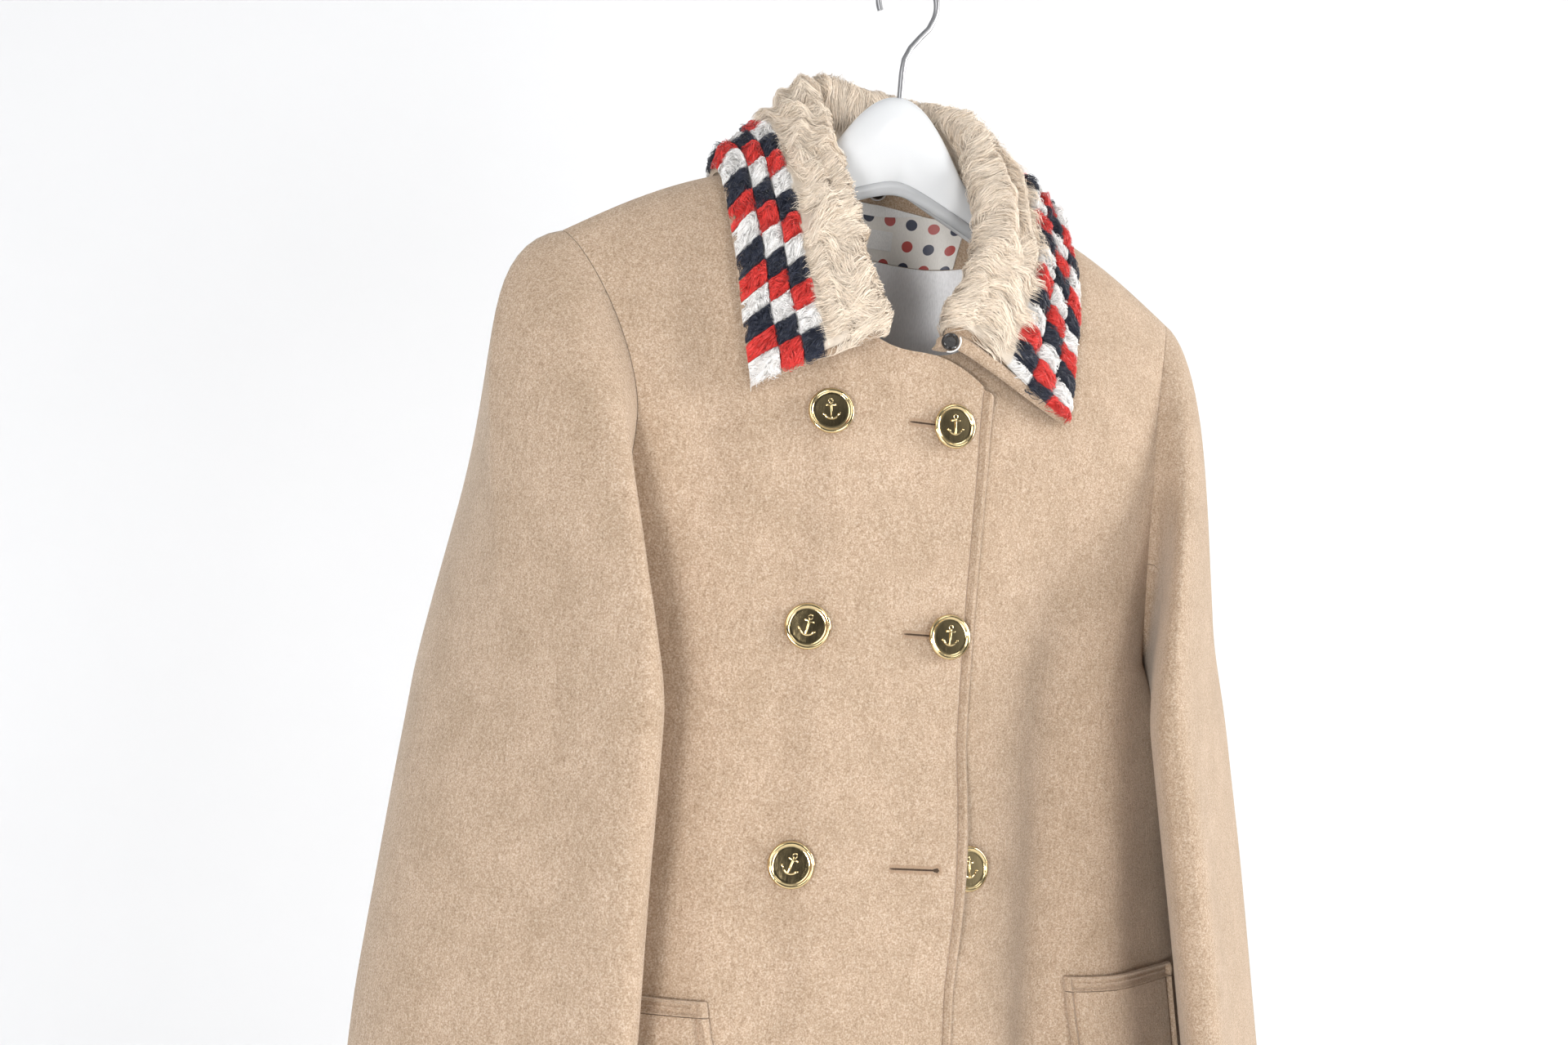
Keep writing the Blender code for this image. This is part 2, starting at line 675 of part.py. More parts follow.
def make_sleeve(side, table, front, back, back_column, camel, parent):
    start, start_normals = armhole_loop(front, back, back_column)
    angles = loop_angles(start)
    start[:, 2] += UNDERARM_GAP * np.clip(np.cos(angles), 0.0, 1.0)
    under = np.clip(np.cos(angles), 0.0, 1.0)
    over = np.clip(-np.cos(angles), 0.0, 1.0)
    sideways = SIDE_SIGN[side] * (CAP_OUT + CAP_SWELL[side] * under + CAP_CROWN[side] * over)
    forward = -CAP_FORWARD[side] * np.sin(angles)
    leaving = unit(np.stack((sideways, forward, CAP_LIFT + CAP_RISE * np.cos(angles)), axis=1))
    top = table[-1].height
    cuff = table[0].height
    first_ring = sleeve_ring(table, top, angles)
    length = np.linalg.norm(first_ring - start, axis=1, keepdims=True)
    falling = (sleeve_ring(table, top - CAP_STEP, angles) - first_ring) / CAP_STEP * length
    rows = [
        hermite(start, first_ring, leaving * length * CAP_FULLNESS[side], falling, share)
        for share in np.linspace(0.0, 1.0, SLEEVE_CAP_STEPS + 1)
    ]
    rows += [sleeve_ring(table, height, angles) for height in np.linspace(top, cuff, SLEEVE_STEPS + 1)[1:]]
    outer = np.array(rows)
    middle = outer.mean(axis=1, keepdims=True)
    around = np.roll(outer, -1, axis=1) - np.roll(outer, 1, axis=1)
    normals = unit(np.cross(np.gradient(outer, axis=0), around))
    if np.sum(normals[-1] * (outer - middle)[-1]) < 0.0:
        normals = -normals
    normals[0] = start_normals
    inner = outer - normals * CLOTH
    degrees = np.degrees(angles)
    front_seam = int(np.argmin(np.abs(degrees - SLEEVE_FRONT_SEAM)))
    back_seam = int(np.argmin(np.abs(degrees - SLEEVE_BACK_SEAM)))
    top_columns = list(range(front_seam, back_seam + 1))
    under_columns = list(range(back_seam, len(angles))) + list(range(front_seam + 1))
    for piece, columns in (("top_sleeve", top_columns), ("under_sleeve", under_columns)):
        edges = {"top": True, "left": True, "right": True}
        skins = (trimmed(outer[:, columns], **edges), trimmed(inner[:, columns], **edges))
        wall(f"{side}_{piece}", *skins, camel, parent)


# Collar


def collar_neck_point(share, side):
    """The neck seam of one side, from the centre back (0) to the front end (1)."""
    if share <= COLLAR_BACK_SHARE:
        point = back_neck_point(share / COLLAR_BACK_SHARE * math.pi / 2.0)
    else:
        end_x = COLLAR_RIGHT_END_X if side > 0.0 else COLLAR_END_X
        end_angle = math.asin(end_x / NECK_HALF)
        gone = (share - COLLAR_BACK_SHARE) / (1.0 - COLLAR_BACK_SHARE)
        point = front_neck_point(math.pi / 2.0 + (end_angle - math.pi / 2.0) * gone)
    return point


def collar_profile(around, shares):
    """Points from the neck seam (0) over the roll to the outer edge (1), at a place round the collar.

    The place runs from -1, the front end at the wearer's right, over 0, the centre back, to 1.
    """
    side = -1.0 if around < 0.0 else 1.0
    share = abs(around)
    columns = {column: read_table(COLLAR_STATIONS, column, share) for column in CollarStation._fields[1:]}
    neck = collar_neck_point(share, side)
    roll = np.array((columns["roll_x"], columns["roll_y"], columns["roll_z"]))
    edge = np.array((columns["edge_x"], columns["edge_y"], columns["edge_z"]))
    if side > 0.0:
        shift = (COLLAR_RIGHT_END_X - COLLAR_END_X) * smooth_step(share, 0.6, 1.0)
        roll[0] += shift
    stand = roll - neck
    leaf = edge - roll
    rise = unit(stand)
    neck = neck + np.array((0.0, 0.0, NECK_SEAM_RISE + NECK_SEAM_LEAN * (1.0 - abs(rise[2]))))
    lift = COLLAR_LIFT * smooth_step(share, 0.4, 0.6)
    if side < 0.0:
        lift = LAP_LIFT * smooth_step(share, 0.6, 0.85)
    neck = neck + np.array((0.0, -0.5, 0.9)) * lift
    over = unit(rise + unit(leaf)) * ROLL_FULLNESS
    points = []
    for place in shares:
        if place < ROLL_SHARE:
            step = place / ROLL_SHARE
            point = hermite(neck, roll, rise * np.linalg.norm(stand), over * 0.6, step)
        else:
            step = (place - ROLL_SHARE) / (1.0 - ROLL_SHARE)
            point = hermite(roll, edge, over, unit(leaf) * np.linalg.norm(leaf), step)
        points.append(point * np.array((side, 1.0, 1.0)))
    return points


def collar_grid(arounds, shares):
    """Middle surface of the collar cloth and its upper-side normals, a row for each place round the neck."""
    points = np.array([collar_profile(around, shares) for around in arounds])
    normals = unit(np.cross(np.gradient(points, axis=0), np.gradient(points, axis=1)))
    if normals[len(arounds) // 2, len(shares) // 2, 2] < 0.0:
        normals = -normals
    return points, normals


def fur_depth(arounds, shares):
    """Fur thickness: thin down the stand, full over the roll and leaf, rounded down towards its edges."""
    ends = np.minimum(arounds - arounds[0], arounds[-1] - arounds)
    stand = FUR_STAND + (1.0 - FUR_STAND) * np.clip((shares - shares[0]) / FUR_STAND_RUN, 0.0, 1.0)
    end_round = np.clip(ends / FUR_END_ROUND, 0.0, 1.0)[:, None]
    edge_round = np.clip((shares[-1] - shares) / FUR_EDGE_ROUND, 0.0, 1.0)[None, :]
    rounding = np.sqrt(1.0 - (1.0 - np.minimum(end_round, edge_round)) ** 2)
    return (FUR_DEPTH * stand[None, :] * (0.5 + 0.5 * rounding))[:, :, None]


def make_collar(camel, fur, border, parent):
    arounds = np.concatenate(([-1.0], np.linspace(-1.0 + FUR_START, FUR_END, 35), [1.0]))
    ground_shares = np.linspace(FUR_NECK_START, FUR_BORDER_START, 6)
    border_shares = np.linspace(FUR_BORDER_START, FUR_EDGE, 5)
    shares = np.concatenate(([0.0], ground_shares, border_shares[1:], [1.0]))
    middle, normals = collar_grid(arounds, shares)
    half = normals * CLOTH / 2.0
    wall("under_collar", middle + half, middle - half, camel, parent)
    base = (middle + normals * (CLOTH / 2.0 + LAYER_GAP))[1:-1, 1:-1]
    crown = base + normals[1:-1, 1:-1] * fur_depth(arounds[1:-1], shares[1:-1])
    parting = len(ground_shares)
    pieces = (
        ("fur_collar", slice(0, parting), "right", fur),
        ("fur_border", slice(parting - 1, None), "left", border),
    )
    for name, columns, seam, finish in pieces:
        skins = [trimmed(skin[:, columns], **{seam: True}, gap=FUR_SEAM_GAP) for skin in (crown, base)]
        wall(name, *skins, finish, parent)


# Inside the back neck


def make_back_inside(back, camel, yoke, lining, parent):
    outer, normals = back
    centre = outer.shape[1] // 2
    last_row = outer.shape[0] - 2
    spans = (
        ("back_neck_facing", 0, FACING_ROW, FACING_COLUMNS, camel),
        ("lining_yoke", FACING_ROW, YOKE_ROW, YOKE_COLUMNS, yoke),
        ("lining_back", YOKE_ROW, last_row, LINING_COLUMNS, lining),
    )
    skins = {}
    for name, first, last, reach, finish in spans:
        area = (slice(first, last + 1), slice(centre - reach, centre + reach + 1))
        near = outer[area] - normals[area] * (CLOTH + LAYER_GAP)
        far = near - normals[area] * LINING
        skins[name] = (far, -normals[area])
        wall(name, trimmed(near, top=True, bottom=True), trimmed(far, top=True, bottom=True), finish, parent)
    return skins


def strip_grid(left, right, middle_height, sag, height, columns):
    """A level strip in front of the back neck, upper edge first, sagging between its ends."""
    shares = np.linspace(0.0, 1.0, columns)
    rows = []
    for edge in (0.5, -0.5):
        x = left + (right - left) * shares
        z = middle_height + edge * height - sag * np.sin(math.pi * shares)
        rows.append(np.stack((x, np.full(columns, NECK_BACK_DEPTH), z), axis=1))
    return np.array(rows)


def make_hang_loop(inside_tree, white, parent):
    flat = strip_grid(HANG_LOOP_LEFT, HANG_LOOP_RIGHT, HANG_LOOP_LEVEL, HANG_LOOP_SAG, HANG_LOOP_HEIGHT, 13)
    near = lie_on(inside_tree, flat, TRIM_LIFT)
    far = lie_on(inside_tree, flat, TRIM_LIFT + LINING)
    wall("hang_loop", near, far, white, parent)


def make_label(inside_tree, white, parent):
    flat = strip_grid(LABEL_LEFT, LABEL_LEFT + LABEL_WIDTH, LABEL_LEVEL, 0.0, LABEL_HEIGHT, 9)
    near = lie_on(inside_tree, flat, TRIM_LIFT)
    far = lie_on(inside_tree, flat, TRIM_LIFT + LINING / 2.0)
    wall("label", near, far, white, parent)


# Pockets


def pocket_grid(pocket, top, height, columns, rows):
    """Points of a flap or welt on the front's smooth surface, its upper edge first."""
    grid = []
    for down in np.linspace(0.0, 1.0, rows):
        z = top - down * height
        start = along_at_x("front", pocket.side, z, pocket.inner_x) + pocket.lean * (pocket.top - z)
        places = SIDE_SIGN[pocket.side] * (start + np.linspace(0.0, FLAP_WIDTH, columns))
        grid.append([section_point("front", place, z) for place in places])
    return np.array(grid)


def make_pockets(trees, camel, parent):
    for pocket in POCKETS:
        flap_top = pocket.top - WELT_HEIGHT - SEAM_GAP
        pieces = (("welt", pocket.top, WELT_HEIGHT, 2), ("flap", flap_top, FLAP_HEIGHT, 6))
        for piece, top, height, rows in pieces:
            flat = pocket_grid(pocket, top, height, 14, rows)
            tree = trees[f"{pocket.side}_front"]
            near = lie_on(tree, flat, FLAP_LIFT)
            far = lie_on(tree, flat, FLAP_LIFT + CLOTH)
            wall(f"pocket_{piece}_{pocket.side}", far, near, camel, parent)


# Fastenings


def make_buttons(trees, brass, parent):
    rim = BUTTON_RADIUS
    top = BUTTON_HEIGHT
    profile = (
        (0.0, 0.0),
        (SHANK_RADIUS, 0.0),
        (SHANK_RADIUS, top - 0.0034),
        (rim - 0.0022, top - 0.0032),
        (rim, top - 0.0016),
        (rim - 0.0004, top - 0.0002),
        (rim - 0.0014, top),
        (rim - RIM_WIDTH, top - 0.0007),
        (0.0, top - 0.0004),
    )
    for index, row in enumerate(BUTTON_ROWS, 1):
        columns = (("right", row.right_x, "right_front"), ("left", row.left_x, row.left_carrier))
        for side, x, carrier in columns:
            button = turned(f"button_{side}_{index}", profile, 20, brass, parent)
            seat(button, trees[carrier], (x, -1.0, row.height), (0.0, 1.0, 0.0), BUTTON_GAP)


def small_button(name, dark, parent):
    rim = SMALL_BUTTON_RADIUS
    top = SMALL_BUTTON_HEIGHT
    profile = (
        (0.0, 0.0),
        (rim - 0.0012, 0.0),
        (rim, 0.0010),
        (rim - 0.0006, top),
        (rim - 0.0018, top - 0.0006),
        (0.0, top - 0.0006),
    )
    return turned(name, profile, 14, dark, parent)


def loop_cord(name, button, degrees, white, parent):
    """A cord loop caught under the rim of a small button, parted from it, in the button's own plane."""
    radius = SMALL_BUTTON_RADIUS + LOOP_CORD + BUTTON_GAP
    points = []
    for angle in np.radians(np.linspace(degrees[0], degrees[1], 13)):
        points.append((radius * math.cos(angle), radius * math.sin(angle), LOOP_CORD + BUTTON_GAP))
    cord = rod(name, points, LOOP_CORD, white, parent)
    cord.location = button.location
    cord.rotation_mode = "QUATERNION"
    cord.rotation_quaternion = button.rotation_quaternion


def make_collar_buttons(inside_tree, collar_tree, dark, white, parent):
    back = small_button("collar_button_back", dark, parent)
    seat(back, inside_tree, BACK_BUTTON_SPOT, (0.0, 1.0, 0.0), BUTTON_GAP)
    loop_cord("collar_loop_back", back, (-170.0, 10.0), white, parent)
    front = small_button("collar_button_front", dark, parent)
    seat(front, collar_tree, FRONT_BUTTON_SPOT, (0.0, 1.0, 0.0), BUTTON_GAP)
    loop_cord("collar_loop_front", front, (-120.0, 60.0), white, parent)


# Hanger


def hanger_top(x):
    """Upper edge of the hanger: a dome at the neck that runs out along the inside of the shoulders."""
    dome = DOME_TOP - DOME_FALL * x * x
    share = (abs(x) - NECK_HALF) / (SHOULDER_HALF - NECK_HALF)
    if share > 0.0:
        arm = shoulder_point(share)[2] - HANGER_CLEARANCE
    else:
        arm = NECK_SIDE_HEIGHT - share * (SHOULDER_HALF - NECK_HALF) * ARM_FALL - HANGER_CLEARANCE
    softness = 0.006 * (1.0 - smooth_step(abs(x), 0.040, NECK_HALF))
    if softness < 1e-6:
        return arm
    return max(dome, arm) + softness * math.log1p(math.exp(-abs(dome - arm) / softness))


def make_hanger(plastic, steel, parent):
    half = DOME_STATIONS + ARM_STATIONS
    places = [-x for x in half[:0:-1]] + list(half)
    crown = DOME_TOP - hanger_top(0.0)
    rings = []
    for x in places:
        high = hanger_top(x) + crown * (1.0 - smooth_step(abs(x), 0.0, 0.040))
        low = DOME_LOW - ARM_FALL * abs(x)
        depth = ARM_DEPTH + (DOME_DEPTH - ARM_DEPTH) * (1.0 - smooth_step(abs(x), 0.0, 0.06))
        ring = []
        for angle in np.linspace(0.0, 2.0 * math.pi, 14, endpoint=False):
            z = (high + low) / 2.0 + math.cos(angle) * (high - low) / 2.0
            ring.append((x, math.sin(angle) * depth / 2.0, z))
        rings.append(ring)
    lofted("hanger_body", rings, plastic, parent)
    shank = [(0.0, 0.0, DOME_TOP + SEAM_GAP)] + [(x, 0.0, z) for x, z in HOOK_SHANK]
    turn = []
    for angle in np.radians(np.arange(-25.0, HOOK_END_DEGREES + 1.0, 11.5)):
        turn.append((HOOK_RADIUS * math.cos(angle), 0.0, HOOK_CENTRE + HOOK_RADIUS * math.sin(angle)))
    rod("hanger_hook", shank + turn, WIRE_RADIUS, steel, parent)


def main():
    clear_scene()
    coat = bpy.data.objects.new("coat", None)
    bpy.context.scene.collection.objects.link(coat)
    coat.location = (0.0, 0.0, -HANG_RISE)

    camel = material("camel_wool", CAMEL, 0.95)
    fur = material("cream_fur", (0.86, 0.80, 0.70, 1.0), 0.9)
    border = material("border_fur", (0.30, 0.20, 0.24, 1.0), 0.9)
    yoke = material("dotted_lining", (0.82, 0.78, 0.74, 1.0), 0.6)
    lining = material("plain_lining", (0.62, 0.60, 0.57, 1.0), 0.5)
    white = material("white_tape", (0.90, 0.89, 0.86, 1.0), 0.7)
    brass = material("brass", (0.80, 0.62, 0.30, 1.0), 0.22, 1.0)
    dark = material("dark_plastic", (0.05, 0.035, 0.03, 1.0), 0.35)
    plastic = material("white_plastic", (0.86, 0.87, 0.87, 1.0), 0.35)
    steel = material("steel_wire", (0.55, 0.55, 0.56, 1.0), 0.35, 1.0)

    fronts = make_fronts(camel, coat)
    back = make_back(camel, coat)
    make_sleeve("right", RIGHT_SLEEVE, fronts["right_front"], back, 0, camel, coat)
    make_sleeve("left", LEFT_SLEEVE, fronts["left_front"], back, -1, camel, coat)
    trees = {name: skin_tree(*skin) for name, skin in fronts.items()}
    make_collar(camel, fur, border, coat)
    inside = make_back_inside(back, camel, yoke, lining, coat)
    yoke_tree = skin_tree(*inside["lining_yoke"])
    facing_tree = skin_tree(*inside["back_neck_facing"])
    make_hang_loop(yoke_tree, white, coat)
    make_label(yoke_tree, white, coat)
    make_pockets(trees, camel, coat)
    make_buttons(trees, brass, coat)
    collar_tree = BVHTree.FromObject(bpy.data.objects["under_collar"], bpy.context.evaluated_depsgraph_get())
    make_collar_buttons(facing_tree, collar_tree, dark, white, coat)
    make_hanger(plastic, steel, coat)


main()
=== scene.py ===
"""Dresses a fur-collared wool coat on its hanger: wool, fur, lining, brass and plastic over its solids.

Metres, +Z up. The coat's front faces -Y and the wearer's right side is at -X. Shapes are worked out from the
level of the shoulder tips, as the coat is measured, and moved down to their place under the hook at the end.
"""

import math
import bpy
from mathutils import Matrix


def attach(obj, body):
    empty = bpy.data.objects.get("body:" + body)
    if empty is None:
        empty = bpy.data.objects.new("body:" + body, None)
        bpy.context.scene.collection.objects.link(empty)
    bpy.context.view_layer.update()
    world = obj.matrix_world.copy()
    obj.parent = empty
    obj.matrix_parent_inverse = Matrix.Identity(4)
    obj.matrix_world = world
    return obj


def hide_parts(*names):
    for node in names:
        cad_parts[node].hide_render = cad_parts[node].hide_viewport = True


bl_info = {
    "name": "Fur-collared wool coat",
    "version": (1, 0, 0),
    "blender": (4, 5, 0),
    "location": "3D View > Sidebar > Coat",
    "description": "Dresses the coat's solids with wool, fur, lining, brass and plastic",
    "category": "Object",
}

from collections import namedtuple
from functools import lru_cache

import bmesh
import bpy
import numpy as np
from bpy.props import FloatProperty, FloatVectorProperty, IntProperty, PointerProperty
from mathutils import Matrix, Vector, noise
from mathutils.bvhtree import BVHTree

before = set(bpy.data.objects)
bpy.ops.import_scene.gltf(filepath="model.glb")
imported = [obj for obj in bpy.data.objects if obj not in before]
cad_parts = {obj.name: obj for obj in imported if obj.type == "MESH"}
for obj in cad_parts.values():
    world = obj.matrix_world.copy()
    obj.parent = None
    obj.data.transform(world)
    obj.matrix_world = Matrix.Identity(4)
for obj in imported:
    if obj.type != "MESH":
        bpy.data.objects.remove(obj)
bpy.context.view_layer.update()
BODY = "root"

# Cloth and seams
CLOTH = 0.003
LINING = 0.001
SEAM_GAP = 0.0004
SEAM_LAP = 0.002
UNDERARM_GAP = 0.0008
FUR_SEAM_GAP = 0.0006
LAYER_GAP = 0.0007
TRIM_LIFT = 0.0008
WOOL_EDGE = 0.0009
LINING_EDGE = 0.0003
TAPE_EDGE = 0.0002
GROOVE_WIDTH = 0.0013
EDGE_ROLL = 0.0022
EDGE_ROLL_WIDTH = 0.0026
EDGE_SWELL = 0.0014
EDGE_SWELL_INSET = 0.0034
EDGE_SWELL_WIDTH = 0.0018
THREAD_WIDTH = 0.00055

# Shoulders and neck
SHOULDER_HALF = 0.195
SHOULDER_CROWN = 0.007
NECK_HALF = 0.072
NECK_SIDE_HEIGHT = 0.056
NECK_FRONT_HEIGHT = -0.048
NECK_FRONT_DEPTH = 0.058
NECK_BACK_HEIGHT = 0.068
NECK_BACK_DEPTH = 0.050
NECK_COLUMN = 0.076

# Body levels and armholes
CHEST_HEIGHT = -0.100
UNDERARM_HEIGHT = -0.215
HEM_HEIGHT = -0.764
FRONT_ARMHOLE_HALF = {"right": 0.156, "left": 0.170}
BACK_ARMHOLE_HALF = 0.165

# Lapped fronts
RIGHT_LAP = 0.047
RIGHT_LAP_LEAN = 0.018
RIGHT_LAP_DIP = 0.021
LEFT_LAP = 0.040
LEFT_LAP_DIP = 0.004
LAP_LIFT = CLOTH + 0.0007
LAP_RAMP_START = 0.066
LAP_RAMP_END = 0.046
LAP_COLUMNS = (0.0, 0.0012, 0.0026, 0.0042, 0.0055, 0.0064, 0.0073, 0.0086, 0.011, 0.016, 0.023, 0.031, 0.039)

# Collar
COLLAR_BACK_SHARE = 0.4
COLLAR_END_X = 0.024
COLLAR_RIGHT_END_X = 0.006
COLLAR_LIFT = 0.0012
ROLL_SHARE = 0.30
FUR_DEPTH = 0.011
FUR_NECK_START = 0.10
FUR_BORDER_START = 0.55
FUR_PATCH_START = 0.655
FUR_EDGE = 0.965
FUR_START = 0.012
FUR_END = 0.955
FUR_TIP_END = 0.990
FUR_OVERHANG = 0.0035
HAIR_OVERHANG = 1.6 * FUR_OVERHANG
FUR_WAVE = 0.0125
PATCH_SEAM = 0.0005

# Fastenings
BUTTON_GAP = 0.0004
BACK_BUTTON_SPOT = (0.010, 0.0, 0.0635)
FRONT_BUTTON_SPOT = (0.012, -1.0, -0.0405)

# Pockets
FLAP_WIDTH = 0.104
FLAP_HEIGHT = 0.056
WELT_HEIGHT = 0.008
FLAP_LIFT = 0.0012
WELT_EDGE = 0.0040
WELT_SWELL = 0.0006

# Hanger
DOME_TOP = 0.109
DOME_LOW = 0.055
DOME_FALL = 24.0
ARM_FALL = 0.455
ARM_END = 0.182
ARM_DEPTH = 0.011
DOME_DEPTH = 0.022
HOOK_RADIUS = 0.0190
HOOK_CENTRE = 0.1660
HOOK_END_DEGREES = 205.0
HOOK_SHANK = (
    (0.0, 0.116),
    (0.0, 0.124),
    (0.0008, 0.132),
    (0.0042, 0.1395),
    (0.0098, 0.1468),
    (0.0150, 0.1530),
)
WIRE_RADIUS = 0.0018
LIP_HALF = 0.120
LIP_DEPTH = 0.0022
LIP_FORWARD = 0.0060
HANGER_CLEARANCE = 1.1 * CLOTH + 0.0013
HANG_RISE = HOOK_CENTRE + HOOK_RADIUS - WIRE_RADIUS

# Level sections of the body: it hangs wider at the wearer's left, where it swings out behind the sleeve
Section = namedtuple(
    "Section", "height right_half left_half front_depth back_depth side_y right_square left_square"
)
BODY_SECTIONS = (
    Section(-0.764, 0.230, 0.298, 0.114, 0.110, 0.036, 2.1, 1.80),
    Section(-0.600, 0.208, 0.292, 0.104, 0.102, 0.034, 2.1, 1.75),
    Section(-0.450, 0.188, 0.270, 0.090, 0.090, 0.032, 2.2, 1.70),
    Section(-0.360, 0.182, 0.247, 0.079, 0.080, 0.027, 2.25, 1.75),
    Section(-0.300, 0.176, 0.2295, 0.072, 0.075, 0.022, 2.3, 1.95),
    Section(-0.215, 0.176, 0.1945, 0.063, 0.069, 0.014, 2.5, 2.50),
    Section(-0.100, 0.198, 0.198, 0.058, 0.062, 0.000, 2.7, 2.70),
)

# Soft troughs (depth below 0) and ridges, each running from its top to its foot
Fold = namedtuple("Fold", "face top_x foot_x top foot width depth")
FOLDS = (
    Fold("right_front", -0.120, -0.117, 0.000, -0.170, 0.016, -0.0060),
    Fold("right_front", -0.112, -0.098, -0.130, -0.780, 0.028, 0.0050),
    Fold("right_front", 0.047, 0.047, -0.265, -0.395, 0.032, 0.0078),
    Fold("left_front", 0.106, 0.112, -0.110, -0.780, 0.023, -0.0155),
    Fold("left_front", 0.146, 0.160, -0.060, -0.780, 0.026, 0.0070),
    Fold("left_front", 0.190, 0.224, -0.213, -0.312, 0.024, 0.0085),
    Fold("back_panel", 0.190, 0.224, -0.213, -0.312, 0.024, 0.0085),
    Fold("back_panel", -0.095, -0.110, -0.120, -0.780, 0.030, 0.0080),
    Fold("back_panel", 0.000, 0.006, -0.200, -0.780, 0.030, -0.0060),
    Fold("back_panel", 0.088, 0.100, -0.120, -0.780, 0.028, 0.0080),
)

# Flat-hanging sleeve sections: turn is how far the flat swings from the frontal plane
SleeveSection = namedtuple("SleeveSection", "height centre_x centre_y width thickness turn")
RIGHT_SLEEVE = (
    SleeveSection(-0.590, -0.211, -0.044, 0.154, 0.044, 42.0),
    SleeveSection(-0.450, -0.203, -0.031, 0.176, 0.047, 48.0),
    SleeveSection(-0.320, -0.199, -0.025, 0.183, 0.048, 56.0),
    SleeveSection(-0.255, -0.195, -0.021, 0.184, 0.048, 59.0),
)
LEFT_SLEEVE = (
    SleeveSection(-0.590, 0.2550, -0.070, 0.158, 0.038, 45.4),
    SleeveSection(-0.450, 0.2343, -0.060, 0.174, 0.038, 49.9),
    SleeveSection(-0.320, 0.2161, -0.049, 0.184, 0.038, 49.5),
    SleeveSection(-0.255, 0.2080, -0.041, 0.186, 0.038, 49.0),
)
SLEEVE_ROUNDNESS = 0.9
CAP_OUT = 0.42
CAP_SWELL = {"right": 0.50, "left": 0.90}
CAP_CROWN = {"right": 0.50, "left": 0.10}
CAP_FORWARD = {"right": 0.80, "left": 0.62}
CAP_LIFT = 0.04
CAP_RISE = 0.30
CAP_FULLNESS = {"right": 0.82, "left": 0.46}
CAP_STEP = 0.010
SLEEVE_FRONT_SEAM = 62.0
SLEEVE_BACK_SEAM = 292.0

# Soft folds of the sleeves: where round the sleeve, how far down they run, how wide and how deep
SleeveFold = namedtuple("SleeveFold", "degrees top foot width depth")
SLEEVE_FOLDS = (
    SleeveFold(150.0, -0.120, -0.620, 22.0, -0.0030),
    SleeveFold(205.0, -0.150, -0.620, 24.0, 0.0030),
    SleeveFold(110.0, -0.200, -0.480, 16.0, 0.0020),
    SleeveFold(250.0, -0.160, -0.420, 18.0, -0.0022),
)

# The collar's roll and outer edge for one side, from the centre back (0) to the front end (1)
CollarStation = namedtuple("CollarStation", "share roll_x roll_y roll_z edge_x edge_y edge_z")
COLLAR_STATIONS = (
    CollarStation(0.00, 0.000, 0.057, 0.121, 0.000, 0.077, 0.042),
    CollarStation(0.20, 0.035, 0.048, 0.117, 0.061, 0.068, 0.044),
    CollarStation(0.40, 0.051, 0.010, 0.097, 0.106, 0.023, 0.048),
    CollarStation(0.50, 0.051, -0.008, 0.075, 0.110, -0.009, 0.044),
    CollarStation(0.60, 0.050, -0.028, 0.049, 0.108, -0.034, 0.004),
    CollarStation(0.80, 0.043, -0.053, 0.002, 0.103, -0.0475, -0.042),
    CollarStation(1.00, 0.029, -0.067, -0.043, 0.098, -0.056, -0.078),
)

# Button rows: wearer's right column, then left column, with how each button's motif is turned
ButtonRow = namedtuple("ButtonRow", "height right_x left_x left_carrier right_turn left_turn")
BUTTON_ROWS = (
    ButtonRow(-0.087, -0.052, 0.021, "right_front", 8.0, 4.0),
    ButtonRow(-0.204, -0.056, 0.026, "right_front", -14.0, -2.0),
    ButtonRow(-0.330, -0.059, 0.045, "left_front", -20.0, 10.0),
)
BUTTONHOLE_ENDS = (0.021, 0.026, 0.022)
HOLE_HALF = 0.0013
HOLE_EYE = 0.0022
HOLE_EYE_OUT = 0.0014
HOLE_THREAD_PITCH = 0.00075
HOLE_THREAD_LENGTH = 0.0021
HOLE_THREAD_WIDTH = 0.00062
HOLE_THREAD_LIFT = 0.00015

# A brass button's rim: how far in from its edge and down from its top each turn of the profile lies
BUTTON_RIM = (
    (0.0030, 0.0034), (0.0008, 0.0024), (0.0001, 0.0016), (0.0, 0.0011), (0.0002, 0.0005), (0.0007, 0.0001),
    (0.0013, 0.0), (0.0019, 0.0002), (0.0023, 0.0007), (0.0027, 0.0009), (0.0040, 0.0008),
)

Pocket = namedtuple("Pocket", "side inner_x top lean")
POCKETS = (
    Pocket("right", 0.099, -0.402, -0.18),
    Pocket("left", 0.121, -0.393, 0.18),
)

# How finely the cloth is drawn
TOP_SHARES = tuple(np.linspace(0.0, 1.0, 27))
FACING_SHARE = 0.115
YOKE_SHARE = 0.34
ARMHOLE_STEPS = 20
BODY_STEPS = 46
NECK_STEPS = 18
SHOULDER_STEPS = 24
BACK_NECK_STEPS = 18
BACK_SHOULDER_STEPS = 22
SLEEVE_CAP_STEPS = 26
SLEEVE_STEPS = 34
SHOULDER_ROUND = 0.55
SHOULDER_TILT = 75.0
CHEST_SLOPE = {"front": np.array((0.0, -0.12, -1.0)), "back": np.array((0.0, 0.10, -1.0))}
SIDE_SIGN = {"right": -1.0, "left": 1.0}
INSIDE = np.array((0.0, 0.0, -0.3))


def colour_of(name, about, value):
    return FloatVectorProperty(name=name, description=about, subtype="COLOR", default=value)


def length_of(name, about, value):
    return FloatProperty(name=name, description=about, default=value, unit="LENGTH")


def power_of(name, about, value):
    return FloatProperty(name=name, description=about, default=value, unit="POWER")


